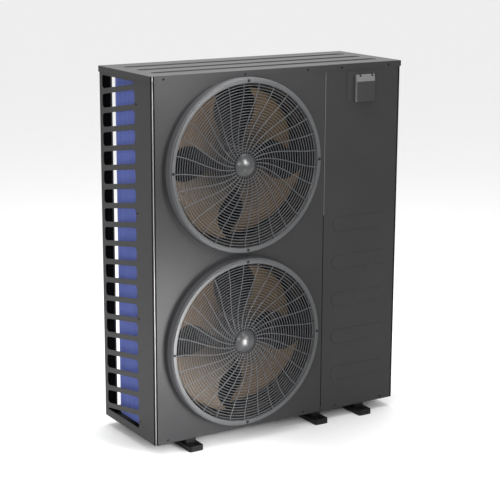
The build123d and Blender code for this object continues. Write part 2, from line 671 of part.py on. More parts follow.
def compressor():
    """Welded upright shell with domed ends and a three-armed foot plate."""
    x, y = COMPRESSOR_XY
    z0, z1 = COMPRESSOR_Z
    shell = rod_z(x, y, z0, z1, COMPRESSOR_R)
    shell = fillet(shell.edges().group_by(Axis.Z)[-1], 34.0)
    shell = fillet(shell.edges().group_by(Axis.Z)[0], 14.0)
    plate = rod_z(x, y, z0, z0 + 4, COMPRESSOR_R + 8)
    shell = shell + plate + rod_z(x, y, z1 - 4, z1 + 8, 9.0)
    return cut_all(shell, [rod_z(px, py, z0 - 1, z0 + 5, 4.1) for px, py in compressor_bolt_places()])


def compressor_bolt_places():
    """Three bolts through the rim of the foot plate."""
    x, y = COMPRESSOR_XY
    reach = COMPRESSOR_R + 1.0
    return [(x + reach * math.cos(math.radians(a)), y + reach * math.sin(math.radians(a)))
            for a in (30, 150, 270)]


def compressor_grommets():
    """Rubber bushes between the pan and the foot plate."""
    return group([rod_z(px, py, Z_BOTTOM + 1.5, COMPRESSOR_Z[0], 10.0)
                  - rod_z(px, py, Z_BOTTOM, COMPRESSOR_Z[0] + 1, 4.0)
                  for px, py in compressor_bolt_places()])


def compressor_bolts():
    """Studs through the bushes, cut off short below the shell."""
    return group([rod_z(px, py, Z_BOTTOM + 1.5, COMPRESSOR_Z[0] + 4, 4.0)
                  for px, py in compressor_bolt_places()])


def terminal_cover():
    """Plastic cover over the compressor's terminals, on the side towards the front panel."""
    x, y = COMPRESSOR_XY
    cover = block(x - 28, x + 28, y - COMPRESSOR_R - 22, y - COMPRESSOR_R + 20, 300, 380)
    cover = fillet(cover.edges().filter_by(Axis.Y), 8.0)
    return cover - rod_z(x, y, 290, 390, COMPRESSOR_R)


def suction_accumulator():
    x, y = ACCUMULATOR_XY
    shell = rod_z(x, y, ACCUMULATOR_Z[0], ACCUMULATOR_Z[1], ACCUMULATOR_R)
    return fillet(shell.edges().filter_by(GeomType.CIRCLE), 20.0)


def four_way_valve():
    """Brass slide valve with one port above and three below, and its pilot coil."""
    x, y, z = VALVE_CENTRE
    body = rod_x(y, z, x - 55, x + 55, 17.0) + rod_z(x, y, z, z + 30, 8.0)
    for step in (-1, 0, 1):
        body = body + rod_z(x + 24 * step, y, z - 30, z, 10.0)
    body = body + rod_x(y + 27, z, x - 24, x + 24, 9.0)
    return body + block(x - 8, x + 8, y + 10, y + 22, z - 6, z + 6)


def expansion_valve():
    body = rod_z(260, 120, 300, 346, 13.0) + rod_z(260, 120, 346, 360, 8.0)
    return body + rod_y(260, 322, 84, 120, 16.0)


def discharge_pipe():
    cx, cy = COMPRESSOR_XY
    x, y, z = VALVE_CENTRE
    top = z + 90
    points = [(cx, cy, COMPRESSOR_Z[1] + 8), (cx, cy, top), (x, y, top), (x, y, z + 30)]
    return pipe(points, 20, 6.35, 1.0)


def suction_pipe():
    x, y, z = VALVE_CENTRE
    ax, ay = ACCUMULATOR_XY
    points = [(x, y, z - 30), (x, y, z - 110), (ax, ay, z - 190), (ax, ay, ACCUMULATOR_Z[1])]
    return pipe(points, 26, 9.5, 1.0)


def accumulator_elbow():
    """Pipe from the foot of the accumulator into the compressor's side."""
    ax, ay = ACCUMULATOR_XY
    cx, cy = COMPRESSOR_XY
    span = math.hypot(ax - cx, ay - cy)
    reach = COMPRESSOR_R - 6
    end = (cx + (ax - cx) * reach / span, cy + (ay - cy) * reach / span, 145)
    elbow = pipe([(ax, ay, ACCUMULATOR_Z[0]), (ax, ay, 145), end], 18, 8.0, 1.0)
    return elbow - rod_z(cx, cy, 80, 300, COMPRESSOR_R)


def exchanger_gas_pipe():
    x, y, z = VALVE_CENTRE
    ex, ey = EXCHANGER_XY
    top = EXCHANGER_Z[1] + 60
    points = [(x + 24, y, z - 30), (x + 24, y, z - 70), (ex, y + 50, z - 70), (ex, y + 50, top),
              (ex, ey, top), (ex, ey, EXCHANGER_Z[1])]
    return pipe(points, 18, 8.0, 1.0)


def evaporator_gas_pipe():
    x, y, z = VALVE_CENTRE
    hx, hy = HEADER_XY
    points = [(x - 24, y, z - 30), (x - 24, y, GAS_LINE_Z), (232, -60, GAS_LINE_Z), (232, hy, GAS_LINE_Z),
              (hx, hy, GAS_LINE_Z)]
    return pipe(points, 16, 8.0, 1.0) - rod_z(hx, hy, 600, 760, 11.0)


def liquid_pipe():
    """Liquid line from the exchanger's foot up to the expansion valve."""
    ex, ey = EXCHANGER_XY
    points = [(ex - EXCHANGER_R + 8, ey, 190), (305, ey, 190), (260, 120, 190), (260, 120, 300)]
    return pipe(points, 16, 5.0, 0.8) - rod_z(ex, ey, 100, 300, EXCHANGER_R)


def distributor_pipe():
    """Line from the expansion valve through the partition to the coil's header."""
    hx, hy = HEADER_XY
    points = [(260, 120, 360), (260, 120, LIQUID_LINE_Z), (225, hy, LIQUID_LINE_Z), (hx, hy, LIQUID_LINE_Z)]
    return pipe(points, 12, 5.0, 0.8) - rod_z(hx, hy, 350, 500, 11.0)


# Water circuit

def exchanger_shell():
    x, y = EXCHANGER_XY
    z0, z1 = EXCHANGER_Z
    shell = rod_z(x, y, z0 + 20, z1 - 20, EXCHANGER_R) - rod_z(x, y, z0, z1, EXCHANGER_R - 6)
    return cut_all(shell, [rod_x(y, z, x, x + 120, PIPE_R) for z in PORT_Z.values()])


def exchanger_caps():
    """Screwed caps on both ends of the shell."""
    x, y = EXCHANGER_XY
    caps = []
    for z0, z1, s0, s1 in ((EXCHANGER_Z[0], EXCHANGER_Z[0] + 20, EXCHANGER_Z[0] + 20, EXCHANGER_Z[0] + 60),
                           (EXCHANGER_Z[1] - 20, EXCHANGER_Z[1], EXCHANGER_Z[1] - 60, EXCHANGER_Z[1] - 20)):
        skirt = rod_z(x, y, s0, s1, EXCHANGER_R + 6) - rod_z(x, y, s0 - 1, s1 + 1, EXCHANGER_R)
        caps.append(rod_z(x, y, z0, z1, EXCHANGER_R + 6) + skirt)
    return group(caps)


def titanium_coil():
    """Titanium refrigerant coil inside the shell."""
    x, y = EXCHANGER_XY
    path = Helix(pitch=34, height=510, radius=52)
    tube = sweep(Plane(origin=path @ 0, z_dir=path % 0) * Circle(9), path=path, is_frenet=True)
    return Pos(x, y, EXCHANGER_Z[0] + 80) * tube


def water_stub(z):
    """Pipe from the shell through the side panel, ending in the union's seat flange."""
    y = EXCHANGER_XY[1]
    x = EXCHANGER_XY[0]
    outer = rod_x(y, z, x + 60, 566, PIPE_R) + rod_x(y, z, 566, 574, 33.0)
    outer = outer - rod_x(y, z, x + 50, 575, PIPE_R - 3)
    return outer - rod_z(x, y, z - 60, z + 60, EXCHANGER_R - 6)


def union_socket(z):
    """Tail piece of the union: the pool pipe is glued into it."""
    y = EXCHANGER_XY[1]
    outer = rod_x(y, z, 574, 580, 33.0) + rod_x(y, z, 580, 612, 31.0)
    return outer - rod_x(y, z, 584, 613, SOCKET_BORE_R) - rod_x(y, z, 573, 585, PIPE_R - 3)


def union_nut(z):
    """Loose nut of the union, with twelve grip flutes."""
    y = EXCHANGER_XY[1]
    nut = rod_x(y, z, 560, 598, 42.0)
    nut = nut - rod_x(y, z, 559, 566, PIPE_R + 0.4) - rod_x(y, z, 565.6, 580.6, 33.5)
    nut = nut - rod_x(y, z, 580, 599, 31.5)
    flutes = [rod_x(y + 44 * math.cos(math.radians(a)), z + 44 * math.sin(math.radians(a)), 563, 595, 4.5)
              for a in range(0, 360, 30)]
    return cut_all(nut, flutes)


def flow_switch():
    """Paddle switch body on the inlet pipe."""
    y = EXCHANGER_XY[1]
    z = PORT_Z["inlet"]
    body = rod_z(528, y, z + PIPE_R - 4, z + 50, 12.0) + block(514, 542, y - 18, y + 18, z + 50, z + 92)
    return body - rod_x(y, z, 500, 560, PIPE_R)


# Electrical

def electrical_box():
    """Galvanised tray for the inverter, open towards the front panel."""
    box = block(208, 540, -150, 150, 960, 1396) - block(209.2, 538.8, -151, 148.8, 961.2, 1394.8)
    return box - block(200, 212, 0, 100, 1050, 1300)


def heat_sink():
    """Finned extrusion that reaches through the partition into the air stream."""
    sink = block(194, 216, 0.5, 99.5, 1050.5, 1299.5)
    for step in range(12):
        y = 2 + step * 8.5
        sink = sink + block(150, 194, y, y + 2.5, 1050.5, 1299.5)
    return sink


def inverter_board():
    """Circuit board on standoffs, with its capacitors and choke."""
    board = block(222, 520, 130, 131.6, 990, 1360)
    for x, z in ((240, 1010), (500, 1010), (240, 1340), (500, 1340)):
        board = board + rod_y(x, z, 131.6, 148.8, 4.0)
    for x in (300, 340, 380):
        board = board + rod_y(x, 1290, 82, 130, 16.0)
    return board + block(420, 490, 90, 130, 1240, 1320) + block(250, 300, 112, 130, 1060, 1140)


def terminal_block():
    block_body = block(330, 480, 118, 130, 1040, 1075)
    for step in range(5):
        block_body = block_body - block(338 + step * 28, 356 + step * 28, 117, 124, 1046, 1069)
    return block_body


def cable_gland():
    """Gland for the supply cable in the right side panel."""
    body = rod_x(60, 1180, 530, X_SIDE, 12.5) + rod_x(60, 1180, X_SIDE, X_SIDE + 3.5, 17.0)
    body = body + rod_x(60, 1180, X_SIDE + 3.5, 574, 14.0)
    body = body - rod_x(60, 1180, 529, 575, 7.0)
    return body - block(500, 540.05, 0, 100, 1100, 1250)


# Controller

def controller_housing():
    """Moulded controller: flat bezel, box behind the panel, two hinge lugs."""
    bx0, bx1, bz0, bz1 = BEZEL
    hx0, hx1, hz0, hz1 = HOUSING
    body = block(bx0, bx1, BEZEL_Y, Y_FRONT, bz0, bz1)
    body = fillet(body.edges().filter_by(Axis.Y), 4.0)
    body = body + block(hx0 + 0.1, hx1 - 0.1, Y_FRONT, Y_FRONT + 30, hz0 + 0.1, hz1 - 0.1)
    body = body - block(hx0 + 2, hx1 - 2, BEZEL_Y + 2, Y_FRONT + 28, hz0 + 2, hz1 - 2)
    body = body - block(358, 418, BEZEL_Y - 1, BEZEL_Y + 3, 1334, 1372)
    for x in BUTTON_X.values():
        body = body - rod_y(x, BUTTON_Z, BEZEL_Y - 1, BEZEL_Y + 3, BUTTON_R + BUTTON_GAP)
    for x in LUG_X:
        body = body + rod_x(HINGE_Y, HINGE_Z, x - LUG_W / 2, x + LUG_W / 2, 3.4)
        body = body + block(x - LUG_W / 2, x + LUG_W / 2, HINGE_Y, BEZEL_Y, HINGE_Z - 3.4, HINGE_Z + 3.4)
    return body - rod_x(HINGE_Y, HINGE_Z, 300, 450, PIN_R)


def display_lens():
    """Window of the display, set into the bezel."""
    return block(358.05, 417.95, BEZEL_Y, BEZEL_Y + 2, 1334.05, 1371.95)


def button(name):
    """Round key with a retaining flange behind the bezel."""
    x = BUTTON_X[name]
    cap = rod_y(x, BUTTON_Z, BEZEL_Y - 2, BEZEL_Y + 3.6, BUTTON_R)
    cap = fillet(cap.edges().group_by(Axis.Y)[0], 0.6)
    return cap + rod_y(x, BUTTON_Z, BEZEL_Y + 2.4, BEZEL_Y + 3.8, BUTTON_R + 1.5)


def hinge_pin():
    return rod_x(HINGE_Y, HINGE_Z, FLAP_X0 + 1, FLAP_X1 - 1, PIN_R)


def weather_flap():
    """Hood over the controller: front wall, sloped top, side walls, knuckle along the top."""
    def prism(front, slope_z, inset, back):
        hull = [(front, FLAP_Z0 - 1 if inset else FLAP_Z0), (front, slope_z),
                (HINGE_Y - KNUCKLE_R + inset, HINGE_Z - 1), (HINGE_Y, HINGE_Z + 1 - inset),
                (back, HINGE_Z - 1 - inset), (back, FLAP_Z0 - 1 if inset else FLAP_Z0)]
        face = Plane.YZ * make_face(Polyline(*hull, close=True))
        width = FLAP_X1 - FLAP_X0 - 2 * inset
        return Pos(FLAP_X0 + inset, 0, 0) * extrude(face, amount=width)

    hood = prism(FLAP_FRONT_Y, FLAP_SLOPE_Z, 0, BEZEL_Y - 0.6)
    hood = hood - prism(FLAP_FRONT_Y + FLAP_T, FLAP_SLOPE_Z - 1, FLAP_T, BEZEL_Y + 1)
    hood = hood + rod_x(HINGE_Y, HINGE_Z, FLAP_X0, FLAP_X1, KNUCKLE_R)
    for x in LUG_X:
        hood = hood - rod_x(HINGE_Y, HINGE_Z, x - LUG_W / 2 - 0.5, x + LUG_W / 2 + 0.5, 6.5)
    return hood - rod_x(HINGE_Y, HINGE_Z, FLAP_X0 + 1, FLAP_X1 - 1, PIN_R + PIN_FIT)


def parts():
    """Every node of the object, by name."""
    made = {
        "base_pan": base_pan(),
        "condensate_spigot": condensate_spigot(),
        "top_cover": top_cover(),
        "fan_front_panel": fan_front_panel(),
        "service_front_panel": service_front_panel(),
        "left_side_panel": left_side_panel(),
        "right_side_panel": right_side_panel(),
        "rear_service_panel": rear_service_panel(),
        "rear_corner_post": rear_corner_post(),
        "rear_coil_guard": rear_coil_guard(),
        "partition_plate": partition_plate(),
        "motor_bracket": motor_bracket(),
        "fan_motors": group([fan_motor(z) for z in FAN_HEIGHTS.values()]),
        "orifice_rings": group([orifice_ring(z) for z in FAN_HEIGHTS.values()]),
        "grille_domes": group([grille_dome(z) for z in FAN_HEIGHTS.values()]),
        "water_stubs": group([water_stub(z) for z in PORT_Z.values()]),
        "union_sockets": group([union_socket(z) for z in PORT_Z.values()]),
        "grille_screws": grille_screws(),
        "casing_screws": casing_screws(),
        "evaporator_fins": evaporator_fins(),
        "evaporator_end_plates": evaporator_end_plates(),
        "evaporator_tubing": group([evaporator_hairpins(), evaporator_header()]),
        "compressor": compressor(),
        "compressor_mounts": group([compressor_grommets(), compressor_bolts()]),
        "terminal_cover": terminal_cover(),
        "suction_accumulator": suction_accumulator(),
        "four_way_valve": four_way_valve(),
        "expansion_valve": expansion_valve(),
        "refrigerant_pipes": group([discharge_pipe(), suction_pipe(), accumulator_elbow(),
                                    exchanger_gas_pipe(), evaporator_gas_pipe(), liquid_pipe(),
                                    distributor_pipe()]),
        "exchanger_shell": group([exchanger_shell(), exchanger_caps()]),
        "titanium_coil": titanium_coil(),
        "flow_switch": flow_switch(),
        "electrical_box": electrical_box(),
        "heat_sink": heat_sink(),
        "inverter_board": group([inverter_board(), terminal_block()]),
        "cable_gland": cable_gland(),
        "controller_housing": controller_housing(),
        "display_lens": display_lens(),
        "hinge_pin": hinge_pin(),
        "weather_flap": weather_flap(),
    }
    for side, x in RAIL_X.items():
        made[side + "_foot_rail"] = foot_rail(x)
        made[side + "_rubber_strip"] = rubber_strip(x)
    for level, z in FAN_HEIGHTS.items():
        made[level + "_fan_grille"] = fan_grille(z)
        made[level + "_impeller"] = impeller(z)
        made[level + "_fan_shaft"] = fan_shaft(z)
        made[level + "_shaft_nut"] = shaft_nut(z)
    for port, z in PORT_Z.items():
        made["water_" + port + "_nut"] = union_nut(z)
    for name in BUTTON_X:
        made["button_" + name] = button(name)
    return made


os.makedirs("parts", exist_ok=True)
for node, shape in parts().items():
    export_step(shape, f"parts/{node}.step")
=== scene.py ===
import math

import bmesh
import bpy
import numpy as np
from mathutils import Euler, Matrix, Vector


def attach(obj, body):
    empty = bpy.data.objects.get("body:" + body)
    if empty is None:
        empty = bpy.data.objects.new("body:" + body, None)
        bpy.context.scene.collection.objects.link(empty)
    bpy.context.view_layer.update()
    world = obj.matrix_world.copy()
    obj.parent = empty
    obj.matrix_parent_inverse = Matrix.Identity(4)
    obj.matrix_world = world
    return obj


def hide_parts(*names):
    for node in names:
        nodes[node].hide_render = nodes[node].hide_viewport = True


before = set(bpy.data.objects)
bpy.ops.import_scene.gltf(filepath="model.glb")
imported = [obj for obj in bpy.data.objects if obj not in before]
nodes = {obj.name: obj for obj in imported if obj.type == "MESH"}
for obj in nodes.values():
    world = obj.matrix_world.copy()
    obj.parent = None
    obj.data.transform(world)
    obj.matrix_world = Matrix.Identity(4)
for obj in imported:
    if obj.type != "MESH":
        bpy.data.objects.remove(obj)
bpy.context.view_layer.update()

MM = 0.001

# Foot rails: three formed steel rails under the base, black powder coat, each on a bonded
# rubber strip. They carry the whole unit and have a bolt hole at each end.


def linear(code):
    """sRGB hex to linear red, green, blue and alpha."""
    parts = [int(code[i:i + 2], 16) / 255 for i in (0, 2, 4)]
    return tuple(c / 12.92 if c <= 0.04045 else ((c + 0.055) / 1.055) ** 2.4 for c in parts) + (1.0,)


def add(tree, kind, settings=None, **links):
    """Adds one node; settings go to its properties, links to its sockets as values or outputs."""
    node = tree.nodes.new(kind)
    for key, value in (settings or {}).items():
        setattr(node, key, value)
    for key, value in links.items():
        socket = node.inputs[int(key[1:])] if key[1:].isdigit() else node.inputs[key.replace("_", " ")]
        if isinstance(value, bpy.types.NodeSocket):
            tree.links.new(value, socket)
        else:
            socket.default_value = value
    return node


def blank_material(name, rough, metallic=0.0, coat=0.0, level=0.5):
    """Material with one Principled shader; returns it with its tree and shader."""
    material = bpy.data.materials.new(name)
    material.use_nodes = True
    tree = material.node_tree
    shader = tree.nodes["Principled BSDF"]
    shader.inputs["Roughness"].default_value = rough
    shader.inputs["Metallic"].default_value = metallic
    shader.inputs["Coat Weight"].default_value = coat
    shader.inputs["Specular IOR Level"].default_value = level
    return material, tree, shader


# Real grains of these finishes are often under a millimetre. Finer than that they would not
# show, so grain_mm is coarser than life on most of them. Wear comes in clouds a hand wide.
WEAR_CLOUDS_PER_METRE = 7.0


def grained(name, tone, fleck, rough, grain_mm, bump_mm, metallic=0.0, coat=0.0,
            stretch=(1, 1, 1), spread=0.06, level=0.5):
    """Coated or moulded surface: two tones mixed by a grain of the given size, a slow cloud
    of wear that moves the roughness by the spread, and the same grain as a fine relief."""
    material, tree, shader = blank_material(name, rough, metallic, coat, level)
    place = add(tree, "ShaderNodeTexCoord").outputs["Object"]
    place = add(tree, "ShaderNodeMapping", _0=place, _3=stretch).outputs[0]
    grain = add(tree, "ShaderNodeTexNoise", Vector=place, Scale=1000 / grain_mm, Detail=3.0).outputs["Fac"]
    cloud = add(tree, "ShaderNodeTexNoise", Vector=place, Scale=WEAR_CLOUDS_PER_METRE,
                Detail=4.0).outputs["Fac"]
    both = add(tree, "ShaderNodeMath", {"operation": "MULTIPLY_ADD"}, _0=cloud, _1=0.6, _2=grain).outputs[0]
    share = add(tree, "ShaderNodeMapRange", _0=both, _1=0.55, _2=1.05, _3=0.0, _4=1.0).outputs[0]
    colour = add(tree, "ShaderNodeMix", {"data_type": "RGBA"}, _0=share, _6=linear(tone), _7=linear(fleck))
    tree.links.new(colour.outputs[2], shader.inputs["Base Color"])
    gloss = add(tree, "ShaderNodeMapRange", _0=cloud, _1=0.3, _2=0.7, _3=rough - spread, _4=rough + spread)
    tree.links.new(gloss.outputs[0], shader.inputs["Roughness"])
    relief = add(tree, "ShaderNodeBump", Height=grain, Strength=0.6, Distance=bump_mm * MM)
    tree.links.new(relief.outputs[0], shader.inputs["Normal"])
    return material


def finish(material, *names):
    """Gives CAD nodes one material in every slot they have."""
    for name in names:
        mesh = nodes[name].data
        mesh.materials.clear()
        mesh.materials.append(material)


# Black powder coat: satin, with the orange-peel skin of a thick coat, coarser than life at
# 3 mm so that it shows. On the inner sheets further down it is painted shade.
black_coat_and_painted_shade = grained("black_powder_coat_and_painted_shade", "09090a", "101011", rough=0.46, grain_mm=3.0,
                     bump_mm=0.05, level=0.2)
finish(black_coat_and_painted_shade, "left_foot_rail", "middle_foot_rail", "right_foot_rail")
# Moulded EPDM rubber: matt, dusty grey bloom in patches.
rubber = grained("moulded_rubber", "0b0b0b", "1d1c1b", rough=0.82, grain_mm=1.5, bump_mm=0.05)
finish(rubber, "left_rubber_strip", "middle_rubber_strip", "right_rubber_strip", "compressor_mounts")

# Base pan, partition, motor bracket and tube plates: steel sheet, pressed and folded, fixed to
# the foot rails. Their black coat is painted shade for the dark inside the casing. The
# electrical tray is bare galvanised sheet.
ZINC_FLAKE_MM = 9.0
ROLLING_MARKS_PER_METRE = 900.0


def galvanised():
    """Hot-dip zinc: it crystallises into large dull flakes. A cell pattern sets tone and
    gloss flake by flake, over the fine relief of the rolled sheet."""
    material, tree, shader = blank_material("galvanised_sheet", 0.42, 0.85)
    place = add(tree, "ShaderNodeTexCoord").outputs["Object"]
    flakes = add(tree, "ShaderNodeTexVoronoi", Vector=place, Scale=1000 / ZINC_FLAKE_MM, Randomness=1.0)
    tone = add(tree, "ShaderNodeSeparateColor", Color=flakes.outputs["Color"]).outputs[0]
    colour = add(tree, "ShaderNodeMix", {"data_type": "RGBA"}, _0=tone,
                 _6=linear("8c9092"), _7=linear("b2b6b8"))
    tree.links.new(colour.outputs[2], shader.inputs["Base Color"])
    gloss = add(tree, "ShaderNodeMapRange", _0=tone, _1=0.0, _2=1.0, _3=0.34, _4=0.55)
    tree.links.new(gloss.outputs[0], shader.inputs["Roughness"])
    marks = add(tree, "ShaderNodeTexNoise", Vector=place, Scale=ROLLING_MARKS_PER_METRE, Detail=2.0)
    relief = add(tree, "ShaderNodeBump", Height=marks.outputs["Fac"], Strength=0.3, Distance=0.03 * MM)
    tree.links.new(relief.outputs[0], shader.inputs["Normal"])
    return material


finish(galvanised(), "electrical_box")
# Painted shade: the inner sheets take the black coat to stand in for the dark inside the casing.
finish(black_coat_and_painted_shade, "base_pan", "partition_plate", "motor_bracket", "evaporator_end_plates")
# Black ABS: injection moulded, fine spark-eroded texture, half matt.
black_abs = grained("black_moulded_abs", "151516", "202022", rough=0.5, grain_mm=1.2, bump_mm=0.04)
finish(black_abs, "condensate_spigot", "terminal_cover", "cable_gland", "flow_switch")

# Evaporator: an L-shaped block of thin aluminium fins with a blue hydrophilic coat, pressed
# on two columns of copper tubes that run the whole length and turn in hairpins at the front.

# Its outer faces, thickness and outer bend, then the ends of its two legs and its height.
COIL_X, COIL_Y, COIL_T = -537.5, 177.5, 44.0
COIL_BEND = 80.0
COIL_FRONT, COIL_RIGHT = -112.5, 167.5
COIL_LOW, COIL_HIGH = 72.0, 1414.0
# Fins stand wider apart and thicker than the real foil, so that they show as lines.
FIN_PITCH, FIN_T = 2.6, 0.45
TUBE_R, TUBE_ROWS, TUBE_PITCH = 4.7, 26, 50.8
FIRST_TUBE_UP = 26.0


def coil_line(depth, spacing):
    """Points along the coil's plan at a depth from its outer face, with unit tangents:
    straight leg, quarter circle, straight leg, taken at an even spacing of arc length."""
    radius = COIL_BEND - depth
    x0, y1 = COIL_X + depth, COIL_Y - depth
    leg_a = (COIL_Y - COIL_BEND) - COIL_FRONT
    bend = radius * math.pi / 2
    leg_b = COIL_RIGHT - (COIL_X + COIL_BEND)
    s = np.arange(spacing / 2, leg_a + bend + leg_b, spacing)
    turn = np.clip((s - leg_a) / radius, 0, math.pi / 2)
    x = x0 + radius * (1 - np.cos(turn)) + np.clip(s - leg_a - bend, 0, None)
    y = COIL_FRONT + np.minimum(s, leg_a) + radius * np.sin(turn)
    return np.stack([x, y], 1), np.stack([np.sin(turn), np.cos(turn)], 1)


def weld(piece, smooth=True):
    """Merges doubled points, so that poles and seams close, and points the faces outwards."""
    bm = bmesh.new()
    bm.from_mesh(piece.data)
    bmesh.ops.remove_doubles(bm, verts=bm.verts, dist=2e-6)
    bmesh.ops.recalc_face_normals(bm, faces=bm.faces)
    bm.to_mesh(piece.data)
    bm.free()
    if smooth:
        piece.data.polygons.foreach_set("use_smooth", [True] * len(piece.data.polygons))
    return piece


def piece_from(name, points, faces, material, slot, body="root"):
    """Mesh object from arrays of points in millimetres and of four-cornered faces."""
    mesh = bpy.data.meshes.new(name)
    mesh.from_pydata((np.asarray(points).reshape(-1, 3) * MM).tolist(), [], np.asarray(faces).tolist())
    mesh.materials.append(material)
    piece = bpy.data.objects.new(name, mesh)
    bpy.context.scene.collection.objects.link(piece)
    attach(piece, body)
    return piece


def grid_faces(rows, columns, wrap_rows=False, wrap_columns=False):
    """Quads of a rows by columns grid of points, joined round where asked."""
    i = np.arange(rows if wrap_rows else rows - 1)[:, None]
    j = np.arange(columns if wrap_columns else columns - 1)[None, :]
    a = i * columns + j
    b = i * columns + (j + 1) % columns
    c = ((i + 1) % rows) * columns + (j + 1) % columns
    d = ((i + 1) % rows) * columns + j
    return np.stack([a, b, c, d], -1).reshape(-1, 4)


def joined(parts):
    """Several (points, faces) pairs as one pair."""
    points = [np.asarray(p).reshape(-1, 3) for p, _ in parts]
    starts = np.cumsum([0] + [len(p) for p in points[:-1]])
    return np.concatenate(points), np.concatenate([f + s for (_, f), s in zip(parts, starts)])


BOX_FACES = np.array([[0, 1, 3, 2], [4, 6, 7, 5], [0, 4, 5, 1], [2, 3, 7, 6], [0, 2, 6, 4], [1, 5, 7, 3]])


def plates(inner, outer, tangent, thick, low, high):
    """One thin upright box per station, from its inner to its outer plan point."""
    half = np.stack([tangent * thick / 2, -tangent * thick / 2], 1)
    plan = np.stack([inner[:, None] + half, outer[:, None] + half], 1)
    corner = np.stack([np.concatenate([plan, np.full(plan.shape[:3] + (1,), z)], -1) for z in (low, high)], 3)
    faces = (BOX_FACES[None] + 8 * np.arange(len(inner))[:, None, None]).reshape(-1, 4)
    return corner.reshape(-1, 3), faces


def tube(path, radius, sides=8, closed=False, reference=(0.0, 0.0, 1.0)):
    """Round wire along a path: circles square to the path's tangent, closed at both ends."""
    path = np.asarray(path, float)
    ahead = np.roll(path, -1, 0) - np.roll(path, 1, 0)
    if not closed:
        ahead[0], ahead[-1] = path[1] - path[0], path[-1] - path[-2]
    ahead /= np.linalg.norm(ahead, axis=1, keepdims=True)
    across = np.cross(ahead, np.asarray(reference))
    across /= np.linalg.norm(across, axis=1, keepdims=True)
    upward = np.cross(across, ahead)
    angle = np.linspace(0, 2 * math.pi, sides, endpoint=False)
    ring = np.cos(angle)[None, :, None] * across[:, None] + np.sin(angle)[None, :, None] * upward[:, None]
    points = path[:, None] + radius * ring
    if not closed:
        ends = [np.repeat(path[k][None, None], sides, 1) for k in (0, -1)]
        points = np.concatenate([ends[0], points, ends[1]])
    return points, grid_faces(points.shape[0], sides, closed, True)


def blue_fins():
    """Blue-coated aluminium foil: the coat is clear and even on the outer edges, with faint
    runs where water has come down, and painted near black from a few millimetres in, as
    painted shade for the dark inside the block."""
    material, tree, shader = blank_material("blue_coated_aluminium_fin", 0.42, 0.0, level=0.3)
    place = add(tree, "ShaderNodeTexCoord").outputs["Object"]
    runs = add(tree, "ShaderNodeMapping", _0=place, _3=(60.0, 60.0, 4.0)).outputs[0]
    stain = add(tree, "ShaderNodeTexNoise", Vector=runs, Scale=1.0, Detail=4.0).outputs["Fac"]
    share = add(tree, "ShaderNodeMapRange", _0=stain, _1=0.35, _2=0.65, _3=0.0, _4=1.0).outputs[0]
    colour = add(tree, "ShaderNodeMix", {"data_type": "RGBA"}, _0=share,
                 _6=linear("6978bd"), _7=linear("7381c5"))
    # Painted shade: from a few millimetres inside the left and back faces the fins turn near black.
    split = add(tree, "ShaderNodeSeparateXYZ", Vector=place)
    from_left = add(tree, "ShaderNodeMapRange", {"interpolation_type": "SMOOTHSTEP"}, _0=split.outputs[0],
                    _1=(COIL_X + 3) * MM, _2=(COIL_X + 12) * MM, _3=0.0, _4=1.0).outputs[0]
    from_back = add(tree, "ShaderNodeMapRange", {"interpolation_type": "SMOOTHSTEP"}, _0=split.outputs[1],
                    _1=(COIL_Y - 3) * MM, _2=(COIL_Y - 12) * MM, _3=0.0, _4=1.0).outputs[0]
    depth = add(tree, "ShaderNodeMath", {"operation": "MULTIPLY"}, _0=from_left, _1=from_back).outputs[0]
    fin_painted_shade_colour = add(tree, "ShaderNodeMix", {"data_type": "RGBA"}, _0=depth,
                _6=colour.outputs[2], _7=linear("06070a"))
    tree.links.new(fin_painted_shade_colour.outputs[2], shader.inputs["Base Color"])
    relief = add(tree, "ShaderNodeBump", Height=stain, Strength=0.2, Distance=0.1 * MM)
    tree.links.new(relief.outputs[0], shader.inputs["Normal"])
    return material


fin_blue = blue_fins()
outer_line, tangents = coil_line(0.0, FIN_PITCH)
inner_line = outer_line + COIL_T * np.stack([tangents[:, 1], -tangents[:, 0]], 1)
fins = piece_from("blue_fins", *plates(inner_line, outer_line, tangents, FIN_T, COIL_LOW + 1, COIL_HIGH - 1),
                  fin_blue, "blue_fin_aluminium")
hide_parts("evaporator_fins")

# Between the two tube columns the gaps between the fins end on a near black wall: painted
# shade for the dark deep inside the block, so that no straight way through it shows.
CORE_OUT, CORE_IN = 18.0, 26.0


def core_wall(depth_out, depth_in, low, high, stations=120):
    """Closed wall that follows the coil's plan between two depths: four rails, carried along
    the plan line and joined round, with a quad at each end."""
    plan = []
    for depth in (depth_out, depth_in):
        line, _ = coil_line(depth, 12.0)
        way = np.linspace(0, 1, len(line))
        plan.append(np.stack([np.interp(np.linspace(0, 1, stations), way, line[:, k]) for k in (0, 1)], 1))
    rails = [(plan[0], low), (plan[0], high), (plan[1], high), (plan[1], low)]
    points = np.stack([np.column_stack([line, np.full(stations, z)]) for line, z in rails], 1)
    last = 4 * (stations - 1)
    ends = np.array([[0, 1, 2, 3], [last + 3, last + 2, last + 1, last]])
    return points, np.concatenate([grid_faces(stations, 4, False, True), ends])


# Painted shade deep in the coil: nearly black and quite matt, with no gloss of metal.
fin_core_painted_shade = grained("fin_core_painted_shade_black", "07080b", "0b0c10", rough=0.9, grain_mm=3.0, bump_mm=0.05,
                     level=0.05)
weld(piece_from("fin_core", *core_wall(CORE_OUT, CORE_IN, COIL_LOW + 2, COIL_HIGH - 2), fin_core_painted_shade,
                "blue_fin_aluminium"), smooth=False)

